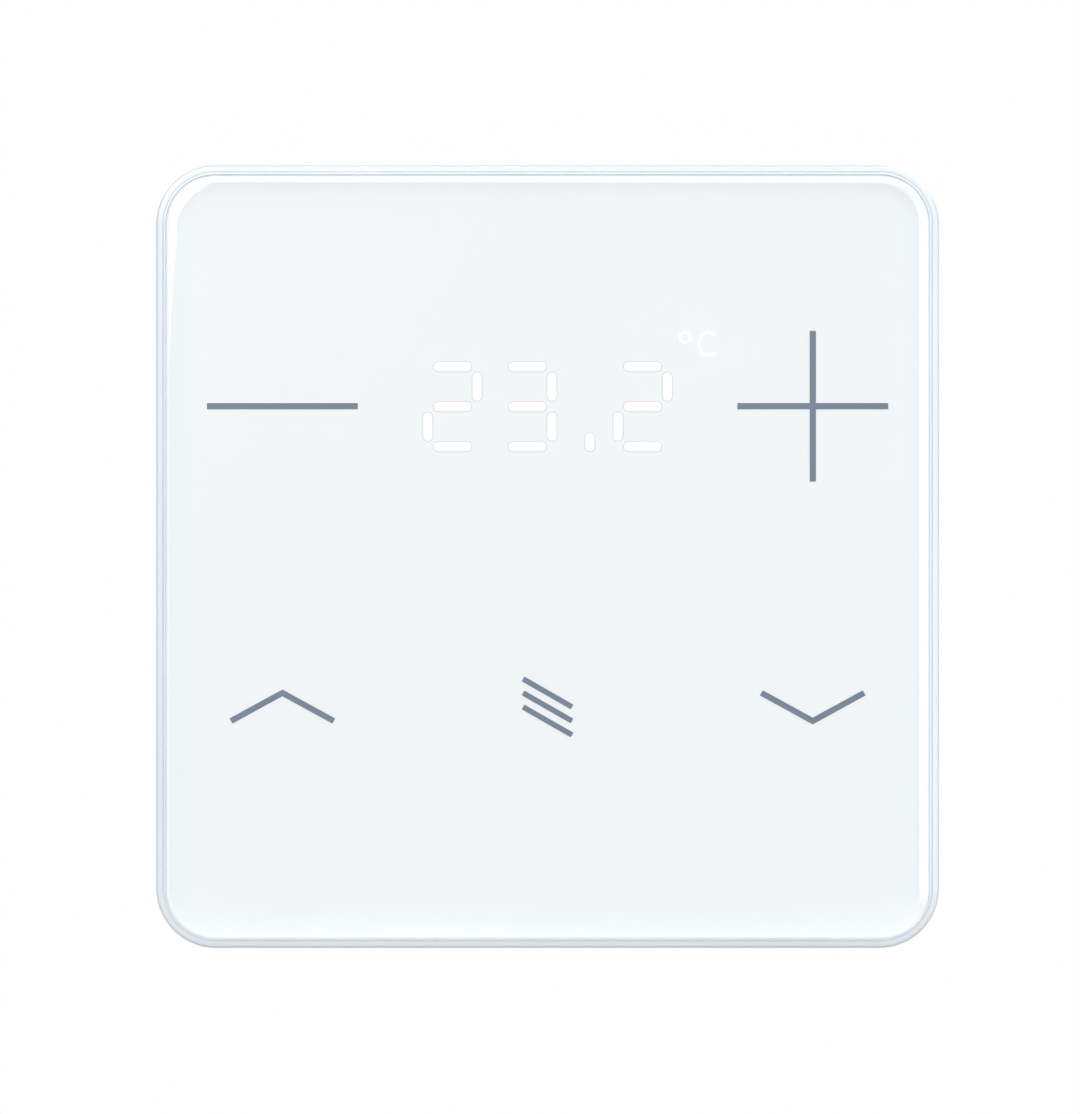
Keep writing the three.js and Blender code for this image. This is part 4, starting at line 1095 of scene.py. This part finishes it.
studio = {
    "floorZ": -0.16, "floorNear": 0.35, "floorFar": 0.72, "floorSize": 1.512,
    "floorDark": (0.64, 0.645, 0.652), "floorLight": (0.665, 0.67, 0.677), "floorMottle": 0.05,
    "lens": 150, "viewHeight": 0.11602, "aimX": -0.79 * mm, "aimZ": -0.05 * mm,
    "roomLight": 0.55, "frontRise": 0.34, "upperRise": 0.2, "ringLow": 1.6, "ringRight": 2.6,
    "ringUpper": 3.0, "leanRight": 0.6, "leanUp": 0.35, "leftReach": -0.35,
}
panels = {
    "keyPanel": {"place": (-0.35, -0.95, 0.3), "width": 0.4, "height": 0.3, "power": 1.49},
    "fillPanel": {"place": (0.6, -0.9, 0.15), "width": 0.35, "height": 0.6, "power": 1.35},
    "cornerPanel": {"place": (-0.45, -0.42, 0.43), "width": 0.85, "height": 0.85, "power": 9,
                    "mirroredOnly": True, "roll": 3},
    "rearPanel": {"place": (0.5, 0.8, 0.6), "width": 0.6, "height": 0.6, "power": 2.4},
}


def makeFloor(look):
    half = look["floorSize"] / 2
    corners = [(-half, -half), (half, -half), (half, half), (-half, half)]
    mesh = meshFrom("floor", [(x, y, look["floorZ"]) for x, y in corners], [(0, 1, 2, 3)])
    floor = placed("floor", mesh)
    floor.visible_diffuse = False  # keeps the underside of the rim in soft shade

    def build(graph):
        settings = {"operation": "LENGTH"}
        spread = graph.add("ShaderNodeVectorMath", settings, {0: graph.spot()})["Value"]
        fade = spread.between(look["floorNear"], look["floorFar"])
        tone = graph.noise(look["floorMottle"], 3)
        color = graph.blend(tone, look["floorDark"], look["floorLight"])
        matte = surface(graph, color=color, roughness=0.6 + tone * 0.1)
        gone = graph.add("ShaderNodeBsdfTransparent")
        return graph.add("ShaderNodeMixShader", {}, {0: fade, 1: matte, 2: gone})

    mesh.materials.append(finishOf("paleFloor", build))


def softbox(name, place, width, height, power, mirroredOnly=False, roll=0):
    # A lamp panel that faces the object's centre and isn't itself seen
    lamp = bpy.data.lights.new(name, "AREA")
    lamp.shape = "RECTANGLE"
    lamp.size, lamp.size_y = width, height
    lamp.energy = power
    holder = placed(name, lamp)
    holder.location = place
    holder.rotation_mode = "QUATERNION"
    facing = (-Vector(place)).to_track_quat("-Z", "Y")
    holder.rotation_quaternion = facing @ Quaternion((0, 0, 1), math.radians(roll))
    holder.visible_camera = False
    holder.visible_diffuse = not mirroredOnly


def makeWorld(look):
    world = bpy.data.worlds.new("studio")
    world.use_nodes = True
    world.node_tree.nodes.clear()
    graph = Graph(world.node_tree)
    where = graph.add("ShaderNodeTexCoord")["Generated"]
    side = graph.add("ShaderNodeSeparateXYZ", {}, {"Vector": where})
    facing = 0 - side["Y"]
    front = facing.between(0.1, 0.95)
    shade = front * look["frontRise"] + side["Z"] * look["upperRise"] + look["roomLight"]
    # A band of light beside the object that only reflections see
    rays = graph.add("ShaderNodeLightPath")
    rightwards = side["X"].maths("MAXIMUM", look["leftReach"])
    nearEdge = facing - rightwards * look["leanRight"] - side["Z"] * look["leanUp"]
    ring = facing.between(-0.3, -0.1) * (1 - nearEdge.between(0.5, 0.7))
    sides = (look["ringLow"] + side["X"].between(0.2, 0.9) * look["ringRight"]
             + side["Z"].between(0.2, 0.9) * look["ringUpper"])
    shade = shade + ring * sides * rays["Is Glossy Ray"]
    seen = rays["Is Camera Ray"]
    room = graph.add("ShaderNodeBackground", {}, {"Color": (0.99, 0.995, 1.0), "Strength": shade})
    white = graph.add("ShaderNodeBackground", {}, {"Color": (1.0, 1.0, 1.0), "Strength": 1.0})
    mixed = graph.add("ShaderNodeMixShader", {}, {0: seen, 1: room, 2: white})
    graph.add("ShaderNodeOutputWorld", {}, {"Surface": mixed})
    bpy.context.scene.world = world


def makeCamera(look):
    camera = bpy.data.cameras.new("frontCamera")
    camera.lens = look["lens"]
    holder = placed("frontCamera", camera)
    distance = look["viewHeight"] * look["lens"] / camera.sensor_width
    edge = frameLow.y + frameLook["edgeDepth"]
    holder.location = (look["aimX"], edge - distance, look["aimZ"])
    holder.rotation_euler = (math.pi / 2, 0, 0)
    camera.clip_start, camera.clip_end = 0.01, 20
    bpy.context.scene.camera = holder


makeFloor(studio)
makeWorld(studio)
makeCamera(studio)
for name, look in panels.items():
    softbox(name, **look)
bpy.context.scene.view_settings.view_transform = "Standard"
print("studio ready")
